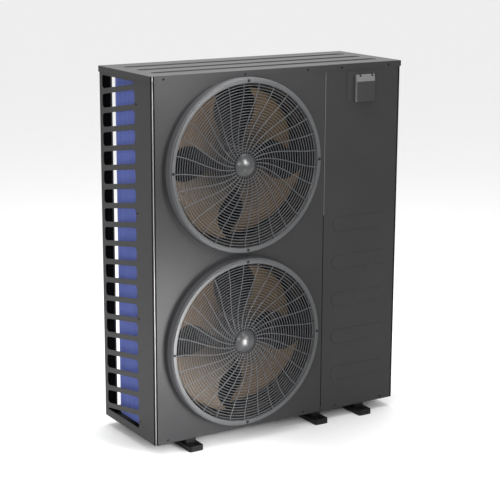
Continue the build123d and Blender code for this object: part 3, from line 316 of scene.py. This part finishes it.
# Copper: drawn tube, dulled to brown in clouds, with drawing lines too fine to show.
copper = grained("oxidised_drawn_copper", "5e3a28", "402a1d", rough=0.4, grain_mm=6.0, bump_mm=0.03,
                 metallic=1.0)
tube_parts = []
for row in range(TUBE_ROWS):
    # Two staggered columns, each by its depth in the block and its lift in pitches.
    for depth, lift in ((11.0, 0.25), (33.0, 0.5)):
        plan, _ = coil_line(depth, 24.0)
        height = COIL_LOW + FIRST_TUBE_UP + (row + lift) * TUBE_PITCH
        tube_parts.append(tube(np.column_stack([plan, np.full(len(plan), height)]), TUBE_R, 6))
weld(piece_from("coil_tubes", *joined(tube_parts), copper, "copper_tube"))
finish(copper, "evaporator_tubing", "refrigerant_pipes")

# Compressor, accumulator, valves and water heat exchanger in the closed right-hand chamber:
# enamelled steel shells, machined brass bodies, grey moulded PVC and a titanium tube, with
# the inverter board and its heat sink in the tray above them.

# Stoved enamel: smooth and half glossy, a clear skin over black.
enamel = grained("black_enamel", "161618", "222225", rough=0.3, grain_mm=2.5, bump_mm=0.03, coat=0.4)
finish(enamel, "compressor", "suction_accumulator")
# Machined brass: warm yellow, with the fine rings that the tool leaves along one axis.
brass = grained("machined_brass", "b08a45", "9a7638", rough=0.3, grain_mm=1.5, bump_mm=0.03,
                metallic=1.0, stretch=(6, 1, 1))
finish(brass, "four_way_valve", "expansion_valve")
# Drawn titanium: warm grey metal, duller than steel.
titanium = grained("drawn_titanium", "8f8b86", "7c7974", rough=0.35, grain_mm=2.0, bump_mm=0.03,
                   metallic=1.0)
finish(titanium, "titanium_coil")
# Moulded PVC: plain pipe grey with a soft sheen and faint flow marks.
pvc = grained("moulded_grey_pvc", "85888b", "7a7d80", rough=0.38, grain_mm=1.8, bump_mm=0.03)
finish(pvc, "exchanger_shell", "water_stubs", "union_sockets", "water_inlet_nut", "water_outlet_nut")
# Extruded aluminium heat sink coloured black: painted shade where it shows through the upper
# fan. Matt, with die lines along the fins, and shaded as a coat, not as metal.
heat_sink_painted_shade = grained("heat_sink_painted_shade_black", "0c0c0d", "141415", rough=0.5, grain_mm=1.0,
                   bump_mm=0.03, stretch=(1, 1, 0.05), level=0.2)
finish(heat_sink_painted_shade, "heat_sink")
# Circuit board: glass laminate under green lacquer, uneven where the coat has run.
board_green = grained("coated_circuit_board", "1d5738", "2a6a46", rough=0.4, grain_mm=3.0, bump_mm=0.05)
finish(board_green, "inverter_board")

# Fan motors: cast housings in dark enamel, bolted to the bracket behind each impeller. Their
# turned steel shafts carry the impellers, each held by a plated nut.

# Enamel on a rough casting: the sand's grain still shows through it.
motor_enamel = grained("cast_motor_enamel", "26272a", "313236", rough=0.5, grain_mm=2.5, bump_mm=0.08)
finish(motor_enamel, "fan_motors")
# Turned steel: bright, with fine rings round the axis, which lies along Y.
turned_steel = grained("turned_steel", "a9abad", "8f9193", rough=0.28, grain_mm=0.8, bump_mm=0.02,
                       metallic=1.0, stretch=(1, 8, 1))
finish(turned_steel, "lower_fan_shaft", "upper_fan_shaft", "hinge_pin")
# Zinc plating: pale grey metal, softer in gloss than the bare shaft.
plated = grained("zinc_plated_steel", "9b9e9c", "8a8d8a", rough=0.34, grain_mm=1.5, bump_mm=0.03,
                 metallic=1.0)
finish(plated, "lower_shaft_nut", "upper_shaft_nut")

# Impellers: one moulding each in tan glass-filled nylon, with four wide sickle blades on a
# ribbed cup hub that is pushed on the motor's shaft.
FAN_X = -173.5
FAN_Z = {"lower": 398.0, "upper": 1086.0}
HUB_R, HUB_FRONT, HUB_BACK = 62.0, -172.0, -82.0
HUB_WALL, HUB_FLOOR, BOSS_R, SHAFT_BORE_R = 4.0, 8.0, 16.0, 6.1
RIB_T, RIB_SHORT = 2.0, 6.0
BLADE_R, BLADE_T, BLADE_TIP_T, BLADE_CAMBER = 290.0, 3.0, 2.2, 4.0
BLADE_MID_Y, BLADE_ADVANCE = -132.5, -1.2
BLADE_START = 44.0
# A blade's two edges: radii, and at each the degrees ahead of or behind its middle line.
FRONT_EDGE = ([55, 87, 130, 178, 235, 265, 290], [40, 36, 27.5, 22.5, 25, 30.5, 38])
BACK_EDGE = ([55, 132, 192, 230, 258, 290], [-26, -24, -24, -29, -36, -41])
FLOW_MARK_MM, NYLON_GRAIN_MM = 45.0, 2.0


def turned(profile, sides, x=0.0, z=0.0, closed=True):
    """Surface of revolution about a line along Y through (x, z), from (radius, y) points."""
    profile = np.asarray(profile, float)
    angle = np.linspace(0, 2 * math.pi, sides, endpoint=False)
    radius = profile[:, 0][:, None]
    points = np.stack([x + radius * np.cos(angle), np.repeat(profile[:, 1][:, None], sides, 1),
                       z + radius * np.sin(angle)], -1)
    return points, grid_faces(len(profile), sides, closed, True)


def rounded(profile, radii, steps=5):
    """Closed or open profile whose corners are swapped for arcs of the given radii."""
    points = [np.asarray(p, float) for p in profile]
    out = []
    for k, (corner, radius) in enumerate(zip(points, radii)):
        if radius == 0:
            out.append(corner[None])
            continue
        before = points[k - 1] - corner
        after = points[(k + 1) % len(points)] - corner
        before, after = before / np.linalg.norm(before), after / np.linalg.norm(after)
        half = math.acos(float(np.clip(before @ after, -1, 1))) / 2
        reach = radius / math.tan(half)
        middle = corner + (before + after) / np.linalg.norm(before + after) * radius / math.sin(half)
        first, last = corner + before * reach - middle, corner + after * reach - middle
        a0, a1 = math.atan2(first[1], first[0]), math.atan2(last[1], last[0])
        sweep = (a1 - a0 + math.pi) % (2 * math.pi) - math.pi
        a = a0 + sweep * np.linspace(0, 1, steps)
        out.append(middle + radius * np.stack([np.cos(a), np.sin(a)], 1))
    return np.concatenate(out)


def blade_surface():
    """Blade as a closed skin: at each radius the chord runs between the two edges, smoothed
    by a running mean. Its axial place falls in proportion to the angle, less a half sine of
    camber, and a lens, the root of a sine, gives it thickness."""
    radius = np.concatenate([np.linspace(HUB_R - 3, BLADE_R - 1.5, 40), [BLADE_R - 0.3, BLADE_R - 0.3]])
    front, back = [np.convolve(np.pad(np.interp(radius, *edge), 3, "edge"), np.ones(7) / 7, "valid")
                   for edge in (FRONT_EDGE, BACK_EDGE)]
    w = np.linspace(0, 2 * math.pi, 48, endpoint=False)[None, :]
    chord = (1 - np.cos(w)) / 2
    angle = back[:, None] + (front - back)[:, None] * chord
    lens = np.sign(np.sin(w)) * np.abs(np.sin(w)) ** 0.5
    thick = np.interp(radius, [HUB_R, BLADE_R - 2, BLADE_R], [BLADE_T, BLADE_TIP_T, 0.0])[:, None]
    thick[0] = 0.0
    camber = BLADE_CAMBER * np.sin(chord * math.pi)
    y = BLADE_MID_Y + BLADE_ADVANCE * angle - camber + thick / 2 * lens
    turn = np.radians(angle)
    points = np.stack([radius[:, None] * np.cos(turn), y, radius[:, None] * np.sin(turn)], -1)
    return points, grid_faces(len(radius), 48, False, True)


def about_shaft(points, degrees, z):
    """Turns points about the shaft line and moves them to the fan's place."""
    t = math.radians(degrees)
    x0, z0 = points[..., 0], points[..., 2]
    return np.stack([FAN_X + x0 * math.cos(t) - z0 * math.sin(t), points[..., 1],
                     z + x0 * math.sin(t) + z0 * math.cos(t)], -1)


def moulded_nylon(name, height):
    """Glass-filled nylon: satin tan with flow clouds, darker towards the hub as painted shade;
    the shade follows the distance from the shaft line."""
    material, tree, shader = blank_material(name, 0.45, level=0.35)
    place = add(tree, "ShaderNodeTexCoord").outputs["Object"]
    flow = add(tree, "ShaderNodeTexNoise", Vector=place, Scale=1000 / FLOW_MARK_MM, Detail=5.0).outputs["Fac"]
    centred = add(tree, "ShaderNodeMapping", _0=place, _1=(-FAN_X * MM, 0.0, -height * MM),
                  _3=(1.0, 0.0, 1.0))
    reach = add(tree, "ShaderNodeVectorMath", {"operation": "LENGTH"}, _0=centred.outputs[0]).outputs["Value"]
    outward = add(tree, "ShaderNodeMapRange", _0=reach, _1=0.06, _2=0.25, _3=0.0, _4=1.0).outputs[0]
    tan = add(tree, "ShaderNodeMix", {"data_type": "RGBA"}, _0=flow, _6=linear("4c3a22"), _7=linear("5d482c"))
    # Painted shade: the tan fades to near black towards the hub.
    shade = add(tree, "ShaderNodeMix", {"data_type": "RGBA"}, _0=outward,
                _6=linear("181512"), _7=tan.outputs[2])
    tree.links.new(shade.outputs[2], shader.inputs["Base Color"])
    grain = add(tree, "ShaderNodeTexNoise", Vector=place, Scale=1000 / NYLON_GRAIN_MM,
                Detail=2.0).outputs["Fac"]
    relief = add(tree, "ShaderNodeBump", Height=grain, Strength=0.5, Distance=0.05 * MM)
    tree.links.new(relief.outputs[0], shader.inputs["Normal"])
    return material


cup_r, floor_y = HUB_R - HUB_WALL, HUB_FRONT + HUB_FLOOR
hub_profile = rounded([(SHAFT_BORE_R, HUB_FRONT), (HUB_R, HUB_FRONT), (HUB_R, HUB_BACK), (cup_r, HUB_BACK),
                       (cup_r, floor_y), (BOSS_R, floor_y), (BOSS_R, HUB_BACK), (SHAFT_BORE_R, HUB_BACK)],
                      [0, 8, 1, 1, 6, 2, 1, 0])
blade_points, blade_faces = blade_surface()
# Each rib is let half a millimetre into the boss and the cup's wall.
rib_box = np.array([(r, y, s) for y in (floor_y + 0.5, HUB_BACK - RIB_SHORT)
                    for r in (BOSS_R - 0.5, cup_r + 0.5) for s in (-RIB_T / 2, RIB_T / 2)])
for level, height in FAN_Z.items():
    nylon = moulded_nylon(level + "_tan_glass_filled_nylon", height)
    skins = [(about_shaft(blade_points, BLADE_START + 90 * k, height), blade_faces) for k in range(4)]
    ribs = [(about_shaft(rib_box, 22.5 + 45 * k, height), BOX_FACES) for k in range(8)]
    hub = turned(hub_profile, 96, FAN_X, height)
    impeller = weld(piece_from(level + "_impeller_moulding", *joined([hub] + skins), nylon, "fan_tan_nylon",
                               level + "_fan"))
    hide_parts(level + "_impeller")
    weld(piece_from(level + "_hub_ribs", *joined(ribs), nylon, "fan_tan_nylon", level + "_fan"), smooth=False)

# Bell mouths: dark grey ABS mouldings that lead the air to the blades, screwed to the back of
# the front panel round each opening.

# Smooth moulded ABS: half glossy, so the curve of the mouth shows as a bright line.
dark_abs = grained("dark_moulded_abs", "1c1c1d", "242425", rough=0.28, grain_mm=1.6, bump_mm=0.02)
finish(dark_abs, "orifice_rings")

# Casing: pressed steel panels and lid, screwed together over the base, in anthracite powder
# coat. The rear corner post and the wire guard over the coil are coated black.

# Powder coat: fine satin texture, nearly even; its grain is drawn at 2.6 mm so that it shows.
COAT = dict(tone="2f2f30", fleck="353536", grain_mm=2.6, bump_mm=0.03, spread=0.02, level=0.12)
casing_coat = grained("anthracite_powder_coat", rough=0.38, **COAT)
finish(casing_coat, "service_front_panel", "left_side_panel", "right_side_panel",
       "rear_service_panel")


def overlaid(material, tone, *bands):
    """Second tone over a material's own colour. Each band (axis, start, full, fade) rises
    from none of the tone to all of it between two places along X, Y or Z, and the largest
    band counts."""
    tree = material.node_tree
    shader = tree.nodes["Principled BSDF"]
    under = shader.inputs["Base Color"].links[0].from_socket
    place = add(tree, "ShaderNodeTexCoord").outputs["Object"]
    axes = add(tree, "ShaderNodeSeparateXYZ", Vector=place).outputs
    share = 0.0
    for axis, start, full, fade in bands:
        band = add(tree, "ShaderNodeMapRange", {"interpolation_type": fade}, _0=axes["XYZ".index(axis)],
                   _1=start * MM, _2=full * MM, _3=0.0, _4=1.0).outputs[0]
        share = add(tree, "ShaderNodeMath", {"operation": "MAXIMUM"}, _0=band, _1=share).outputs[0]
    both = add(tree, "ShaderNodeMix", {"data_type": "RGBA"}, _0=share, _6=under, _7=linear(tone))
    tree.links.new(both.outputs[2], shader.inputs["Base Color"])
    return material


# On the fan panel the coat is painted paler on the walls of the deep drawn collars: painted
# light that brightens walls facing away from the lamps. It follows the depth.
PANEL_FACE_Y, COLLAR_WALL_Y = -208.5, -216.0
collar_painted_light_coat = overlaid(grained("collar_painted_light_powder_coat", rough=0.38, **COAT), "58585a",
                      ("Y", PANEL_FACE_Y, COLLAR_WALL_Y, "SMOOTHSTEP"))
finish(collar_painted_light_coat, "fan_front_panel")
# The lid's flat top is painted paler than its grooves and flanges: painted light, as the top
# faces the light from above. It follows the height.
LID_GROOVE_Z, LID_TOP_Z = 1438.0, 1439.8
lid_top_painted_light_coat = overlaid(grained("lid_top_painted_light_powder_coat", rough=0.4, **COAT), "444445",
                      ("Z", LID_GROOVE_Z, LID_TOP_Z, "SMOOTHSTEP"))
finish(lid_top_painted_light_coat, "top_cover")
finish(black_coat_and_painted_shade, "rear_corner_post", "rear_coil_guard")

# Folded edges and joints: where a sheet turns round a corner its coat is painted lighter, a
# painted highlight on the bend, and black strips of painted shade fill the joints beside the folds.
STRIP_PROUD, STRIP_SUNK = 0.3, 0.3
STRIP_ROWS, STRIP_SIDES = 26, 14
# Faces of the front sheets, the lid's flange and the sides, and the heights that each spans.
SHEET_Y, LID_EDGE_Y, SIDE_X = -207.5, -209.0, 557.5
SHEET_Z = (41.0, 1416.5)
LID_EDGE_Z = (1417.5, 1438.0)
# Above this height the service panel's fold shows in the seam, and below it the dark strip of painted shade
# does.
SEAM_MIDDLE_Z = 850.0


def front_strip(x0, x1, face_y, z0, z1):
    """Shallow crowned strip on a front face: its height over the sheet follows half a sine
    across the width, its back lies flat inside the sheet, and both ends close to a point."""
    turn = np.linspace(0, 2 * math.pi, STRIP_SIDES, endpoint=False)
    x = (x0 + x1) / 2 - (x1 - x0) / 2 * np.cos(turn)
    y = face_y - np.where(np.sin(turn) > 1e-6, STRIP_PROUD * np.sin(turn) + 0.05, -STRIP_SUNK)
    z = np.concatenate([[z0], np.linspace(z0, z1, STRIP_ROWS - 2), [z1]])
    points = np.stack(np.broadcast_arrays(x[None], y[None], z[:, None]), -1)
    points[[0, -1], :, :2] = (x0 + x1) / 2, face_y
    return points, grid_faces(STRIP_ROWS, STRIP_SIDES, False, True)


def side_strip(face_x, y0, y1, z0, z1):
    """The same crowned strip on a left or right face, along the side's front edge."""
    points, faces = front_strip(y0, y1, -abs(face_x), z0, z1)
    out = math.copysign(1.0, face_x)
    return np.stack([-out * points[..., 1], points[..., 0], points[..., 2]], -1), faces


# Painted highlight on the left corner's fold: a pale coat, a little glossier.
fold_painted_highlight = grained("fold_painted_highlight_coat", "7e7e80", "727274", rough=0.3, grain_mm=2.0, bump_mm=0.02,
                    spread=0.02)
folds = [front_strip(-555.0, -551.4, SHEET_Y, *SHEET_Z), front_strip(-555.8, -552.2, LID_EDGE_Y, *LID_EDGE_Z)]
weld(piece_from("corner_fold", *joined(folds), fold_painted_highlight, "casing_powder_coat"))
# Seam coat: a slighter painted highlight on the service panel's fold and the rear post's lip.
seam_painted_highlight = grained("seam_painted_highlight_coat", "5c5c5e", "545456", rough=0.36, grain_mm=2.0, bump_mm=0.02,
                    spread=0.02)
weld(piece_from("service_panel_fold", *front_strip(200.6, 203.4, SHEET_Y, SEAM_MIDDLE_Z, 1415.0), seam_painted_highlight,
                "casing_powder_coat"))
# Black strips: painted shade in the joints beside the folds, near black and matt, no gloss.
joint_painted_shade = grained("joint_painted_shade_black", "060606", "0c0c0c", rough=0.9, grain_mm=1.0, bump_mm=0.05, level=0.1)
joint_shade_strips = [front_strip(-551.3, -544.8, SHEET_Y, *SHEET_Z), front_strip(551.0, 556.8, SHEET_Y, *SHEET_Z),
           front_strip(199.4, 202.2, SHEET_Y, 60.0, SEAM_MIDDLE_Z),
           front_strip(-562.0, -556.0, LID_EDGE_Y, *LID_EDGE_Z),
           front_strip(-552.1, -545.8, LID_EDGE_Y, *LID_EDGE_Z),
           front_strip(556.5, 561.5, LID_EDGE_Y, LID_EDGE_Z[0], 1437.0),
           side_strip(-SIDE_X, -206.5, -199.0, *SHEET_Z)]
weld(piece_from("corner_painted_shade_strips", *joined(joint_shade_strips), joint_painted_shade, "black_rubber"))
# Folded lip along the inner edge of the rear post, beside the open strip of the coil's side, in the seam's
# pale painted highlight.
weld(piece_from("rear_post_lip", *front_strip(-511.5, -505.0, 208.4, 71.0, 1434.0), seam_painted_highlight,
                "casing_powder_coat"))

# Fan grilles: steel wire rings welded to swirled spokes and to a pressed flat rim, then
# powder coated grey. The wires dish back towards the centre plate.
RIM_OUTER, RIM_INNER, RIM_FRONT, RIM_T = 327.5, 312.0, -251.5, 4.0
# Wires are thicker than the usual 3 mm, so that they hold together from a distance.
WIRE_R, SPOKE_R = 1.9, 2.1
RING_COUNT, RING_MAX, RING_PITCH, RING_STEPS = 24, 302.0, 10.7, 144
SPOKE_COUNT, SPOKE_END, SPOKE_SWIRL = 29, -5.6, 28.0
SPOKE_IN, SPOKE_OUT = 36.0, 312.5
CENTRE_PLATE_R = 40.0
# Depth of the dish at the shaft line, then how far the wires lie from its middle surface.
DISH, WIRE_BACK, SPOKE_FORWARD, RING_BACK = 20.0, 2.6, 0.6, 1.6


def dish_y(radius):
    """Axial place of the wires: a straight cone that deepens from the rim to the centre."""
    return RIM_FRONT + DISH * (1 - np.asarray(radius, float) / RIM_INNER) + WIRE_BACK


def spoke_path():
    """Swirled spoke: its turn grows with the square of the way in from the rim."""
    radius = np.linspace(SPOKE_IN, SPOKE_OUT, 48)
    share = (RIM_INNER - radius) / (RIM_INNER - CENTRE_PLATE_R)
    turn = np.radians(SPOKE_END + SPOKE_SWIRL * share ** 2)
    return np.stack([radius * np.cos(turn), dish_y(radius) - SPOKE_FORWARD, radius * np.sin(turn)], -1)


# Grey powder coat on the flat rim and plate: a shade paler than the casing, satin.
grille_coat = grained("grey_powder_coat", "404142", "494a4b", rough=0.4, grain_mm=2.0, bump_mm=0.03,
                      level=0.3)
# The same coat on round wire flows out smoother: darker, with a thin bright line along it.
wire_coat = grained("grey_coated_wire", "3c3d3f", "444547", rough=0.36, grain_mm=2.0, bump_mm=0.03,
                    level=0.35)
rim_profile = rounded([(RIM_INNER, RIM_FRONT), (RIM_OUTER, RIM_FRONT), (RIM_OUTER, RIM_FRONT + RIM_T),
                       (RIM_INNER, RIM_FRONT + RIM_T)], [1.4, 1.8, 0.4, 0.4])
ring_angle = np.linspace(0, 2 * math.pi, RING_STEPS, endpoint=False)
for level, height in FAN_Z.items():
    wires = []
    for step in range(RING_COUNT):
        r = RING_MAX - step * RING_PITCH
        loop = np.stack([FAN_X + r * np.cos(ring_angle), np.full(RING_STEPS, float(dish_y(r)) + RING_BACK),
                         height + r * np.sin(ring_angle)], -1)
        wires.append(tube(loop, WIRE_R, 6, True, (0.0, 1.0, 0.0)))
    for step in range(SPOKE_COUNT):
        path = about_shaft(spoke_path(), 360 / SPOKE_COUNT * step, height)
        wires.append(tube(path, SPOKE_R, 6, False, (0.0, 1.0, 0.0)))
    plate_y = float(dish_y(CENTRE_PLATE_R))
    plate = rounded([(0.0, plate_y + 1), (CENTRE_PLATE_R, plate_y + 1), (CENTRE_PLATE_R, plate_y + 3),
                     (0.0, plate_y + 3)], [0, 0.6, 0.6, 0])
    grille = weld(piece_from(level + "_wire_guard", *joined(wires), wire_coat, "grille_powder_coat"))
    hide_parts(level + "_fan_grille")
    flats = [turned(rim_profile, 192, FAN_X, height), turned(plate, 64, FAN_X, height, closed=False)]
    weld(piece_from(level + "_guard_rim", *joined(flats), grille_coat, "grille_powder_coat"))

# Centre domes: shallow moulded caps in glossy gunmetal lacquer, clipped over the centre plate
# of each guard.
DOME_R, DOME_RISE, DOME_SKIRT = 46.0, 20.7, 1.2


def dome_points(height):
    """Cap of a sphere, from the crown out to the skirt, then a short skirt and a flat back."""
    sphere_r = (DOME_R ** 2 + DOME_RISE ** 2) / (2 * DOME_RISE)
    t = np.linspace(0, math.asin(DOME_R / sphere_r), 28)
    skirt_y = float(dish_y(DOME_R)) - DOME_SKIRT
    crown = np.stack([sphere_r * np.sin(t), skirt_y - DOME_RISE + sphere_r * (1 - np.cos(t))], 1)
    back = np.array([[DOME_R, skirt_y + DOME_SKIRT], [0.0, skirt_y + DOME_SKIRT]])
    return turned(np.concatenate([crown, back]), 96, FAN_X, height, closed=False)


# Lacquer: dark and smooth, the only strong highlight on the unit.
lacquer = grained("gunmetal_lacquer", "1a1b1d", "212224", rough=0.3, grain_mm=1.2, bump_mm=0.01,
                  spread=0.02, level=0.8)
domes = weld(piece_from("gunmetal_domes", *joined([dome_points(h) for h in FAN_Z.values()]), lacquer,
                        "dome_gunmetal"))
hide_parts("grille_domes")

# Screws: cross-recessed pan heads in black passivated steel, through the grille rims, the
# lid's flange, the panels' lower edges and both sides.
HEAD_R, HEAD_H, HEAD_SEGMENTS = 4.2, 2.2, 48
CROSS_WIDTH, CROSS_REACH, CROSS_DEPTH = 0.55, 2.4, 1.3
GRILLE_SCREW_R, GRILLE_HEAD_WIDER = 320.5, 1.3
LID_SCREW_X, LID_SCREW_Z = (-507.5, -162.5, 118.5, 275.5, 500.0), 1426.0
BASE_SCREW_X, BASE_SCREW_Z = (-502.5, 116.5, 272.5, 500.0), 52.0
SIDE_SCREW_Y, SIDE_SCREW_Z = -87.5, (98.0, 510.0, 918.0, 1325.0)


def screw_head():
    """Head on a polar grid: height falls with the fourth power of the radius, less a cross
    whose two arms are narrow bell curves; a back row closes the shank side."""
    share = np.concatenate([np.linspace(0, 1, 13), [1.0, 0.0]])[:, None]
    angle = np.linspace(0, 2 * math.pi, HEAD_SEGMENTS, endpoint=False)[None, :]
    x, z = HEAD_R * share * np.cos(angle), HEAD_R * share * np.sin(angle)
    arms = np.maximum(np.exp(-(x / CROSS_WIDTH) ** 4) * (np.abs(z) < CROSS_REACH),
                      np.exp(-(z / CROSS_WIDTH) ** 4) * (np.abs(x) < CROSS_REACH))
    out = HEAD_H * (1 - 0.55 * share ** 4) - CROSS_DEPTH * arms
    out[13:] = 0.0
    return np.stack([x, -out, z], -1)


# Black passivated steel: a thin dark film on the metal, faintly glossy.
screw_steel = grained("black_passivated_steel", "070708", "0f0f10", rough=0.45, grain_mm=1.0,
                      bump_mm=0.02, metallic=0.3, level=0.3)
head = screw_head()
head_faces = grid_faces(head.shape[0], HEAD_SEGMENTS, False, True)
rim_heads = []
for height in FAN_Z.values():
    for a in np.radians([0, 90, 180, 270]):
        centre = [FAN_X + GRILLE_SCREW_R * math.cos(a), RIM_FRONT, height + GRILLE_SCREW_R * math.sin(a)]
        rim_heads.append((head * [GRILLE_HEAD_WIDER, 1.0, GRILLE_HEAD_WIDER] + centre, head_faces))
grille_heads = weld(piece_from("grille_screw_heads", *joined(rim_heads), screw_steel, "dark_screw_steel"))
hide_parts("grille_screws")
front_heads = [(head + [x, LID_EDGE_Y, LID_SCREW_Z], head_faces) for x in LID_SCREW_X]
front_heads += [(head + [x, SHEET_Y, BASE_SCREW_Z], head_faces) for x in BASE_SCREW_X]
for side in (-1, 1):
    turned_head = np.stack([-side * head[..., 1], side * head[..., 0], head[..., 2]], -1)
    front_heads += [(turned_head + [side * SIDE_X, SIDE_SCREW_Y, z], head_faces) for z in SIDE_SCREW_Z]
casing_heads = weld(piece_from("casing_screw_heads", *joined(front_heads), screw_steel, "dark_screw_steel"))
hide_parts("casing_screws")

# Controller behind its weather flap: charcoal ABS bezel with a smoked window and four keys.
# The flap is moulded in the casing's colour and hangs on a steel pin.

# Charcoal ABS: even and matt, with a fine spark-eroded texture.
charcoal_abs = grained("charcoal_moulded_abs", "2a2a2b", "303031", rough=0.45, grain_mm=1.4,
                       bump_mm=0.04, level=0.25)
finish(charcoal_abs, "controller_housing")
# Flap's ABS: the casing's grey on its front wall, painted paler on the slope above it and on
# its left wall: painted light, as those faces take the light from above and the left.
FLAP_SLOPE_Z, FLAP_LEFT_X = 1368.0, 341.4
grey_abs = grained("casing_grey_abs_painted_light", "303031", "363637", rough=0.42, grain_mm=1.4, bump_mm=0.03, level=0.2)
flap_painted_light_abs = overlaid(grey_abs, "6c6c6d", ("Z", FLAP_SLOPE_Z - 1, FLAP_SLOPE_Z + 1, "LINEAR"),
                        ("X", FLAP_LEFT_X, FLAP_LEFT_X - 0.6, "LINEAR"))
finish(flap_painted_light_abs, "weather_flap")
# Smoked acrylic over the dark display: glassy and flat, no grain.
smoked = grained("smoked_acrylic", "06080a", "0a0d10", rough=0.1, grain_mm=40.0, bump_mm=0.0,
                 coat=0.6, spread=0.02)
finish(smoked, "display_lens")
# Key caps: pale grey ABS, softly matt from the mould.
key_abs = grained("light_grey_key_abs", "b4b7ba", "a8abae", rough=0.45, grain_mm=1.0, bump_mm=0.03)
finish(key_abs, "button_power", "button_mode", "button_down", "button_up")

# Studio: a wide pale floor in a white surround that lights every side evenly, and five soft
# area lights that shape the front and the lid. None of it belongs to the unit.
FLOOR_HALF = 30.0
floor_mesh = bpy.data.meshes.new("studio_floor")
floor_mesh.from_pydata([(-FLOOR_HALF, -FLOOR_HALF, 0), (FLOOR_HALF, -FLOOR_HALF, 0),
                        (FLOOR_HALF, FLOOR_HALF, 0), (-FLOOR_HALF, FLOOR_HALF, 0)], [], [(0, 1, 2, 3)])
# Painted board: matt and almost white, so that it takes only a soft shadow.
floor_mesh.materials.append(grained("pale_floor", "f8f8f8", "fbfbfb", rough=0.8, grain_mm=8.0, bump_mm=0.0))
floor = bpy.data.objects.new("studio_floor", floor_mesh)
bpy.context.scene.collection.objects.link(floor)

world = bpy.data.worlds.new("studio_surround")
bpy.context.scene.world = world
world.use_nodes = True
world.node_tree.nodes["Background"].inputs["Color"].default_value = (1.0, 1.0, 1.0, 1.0)
world.node_tree.nodes["Background"].inputs["Strength"].default_value = 0.9


def soft_light(name, place, aim, width, height, power, spread):
    """Rectangular area light of a size in metres and a power in watts, at a place, turned to
    face a point, with a grid that narrows its beam to the spread in degrees."""
    lamp = bpy.data.lights.new(name, "AREA")
    lamp.shape = "RECTANGLE"
    lamp.size, lamp.size_y = width, height
    lamp.energy = power
    lamp.spread = math.radians(spread)
    holder = bpy.data.objects.new(name, lamp)
    holder.visible_camera = False
    holder.location = place
    holder.rotation_euler = (Vector(aim) - Vector(place)).to_track_quat("-Z", "Y").to_euler()
    bpy.context.scene.collection.objects.link(holder)


# Two weak strips close to the front panel brighten its left edge, above and below. One small
# light ahead and one beside the camera give the domes their highlights, and a large one
# overhead lights the lid.
soft_light("upper_strip", (-0.08, -1.2, 1.5), (-0.52, -0.2, 1.3), 0.3, 0.5, 3.6, 90)
soft_light("lower_strip", (-0.15, -1.0, 0.3), (-0.55, -0.2, 0.3), 0.35, 0.5, 4.6, 90)
soft_light("front", (1.0, -2.85, 1.6), (-0.3, -0.2, 0.75), 0.6, 0.6, 11, 180)
soft_light("beside_camera", (-3.79, -4.8, 2.24), (-0.17, -0.25, 0.75), 1.2, 1.2, 55, 180)
soft_light("overhead", (0.1, 0.3, 3.6), (-0.1, 0.0, 1.2), 2.4, 2.4, 110, 180)

# Camera: a long lens some six metres away, from the front left and a little above, rolled by
# a fraction of a degree.
CAMERA_PLACE = (-3.0425, -4.8670, 2.0551)
CAMERA_TILT, CAMERA_ROLL, CAMERA_TURN = 76.6512, -0.2326, -31.8793
LENS_MM, SENSOR_MM = 106.3, 36.0
lens = bpy.data.cameras.new("camera")
lens.sensor_width = SENSOR_MM
lens.lens = LENS_MM
camera = bpy.data.objects.new("camera", lens)
aim = Euler([math.radians(a) for a in (CAMERA_TILT, CAMERA_ROLL, CAMERA_TURN)])
camera.matrix_world = Matrix.LocRotScale(Vector(CAMERA_PLACE), aim, None)
bpy.context.scene.collection.objects.link(camera)
bpy.context.scene.camera = camera
bpy.context.scene.view_settings.view_transform = "Standard"
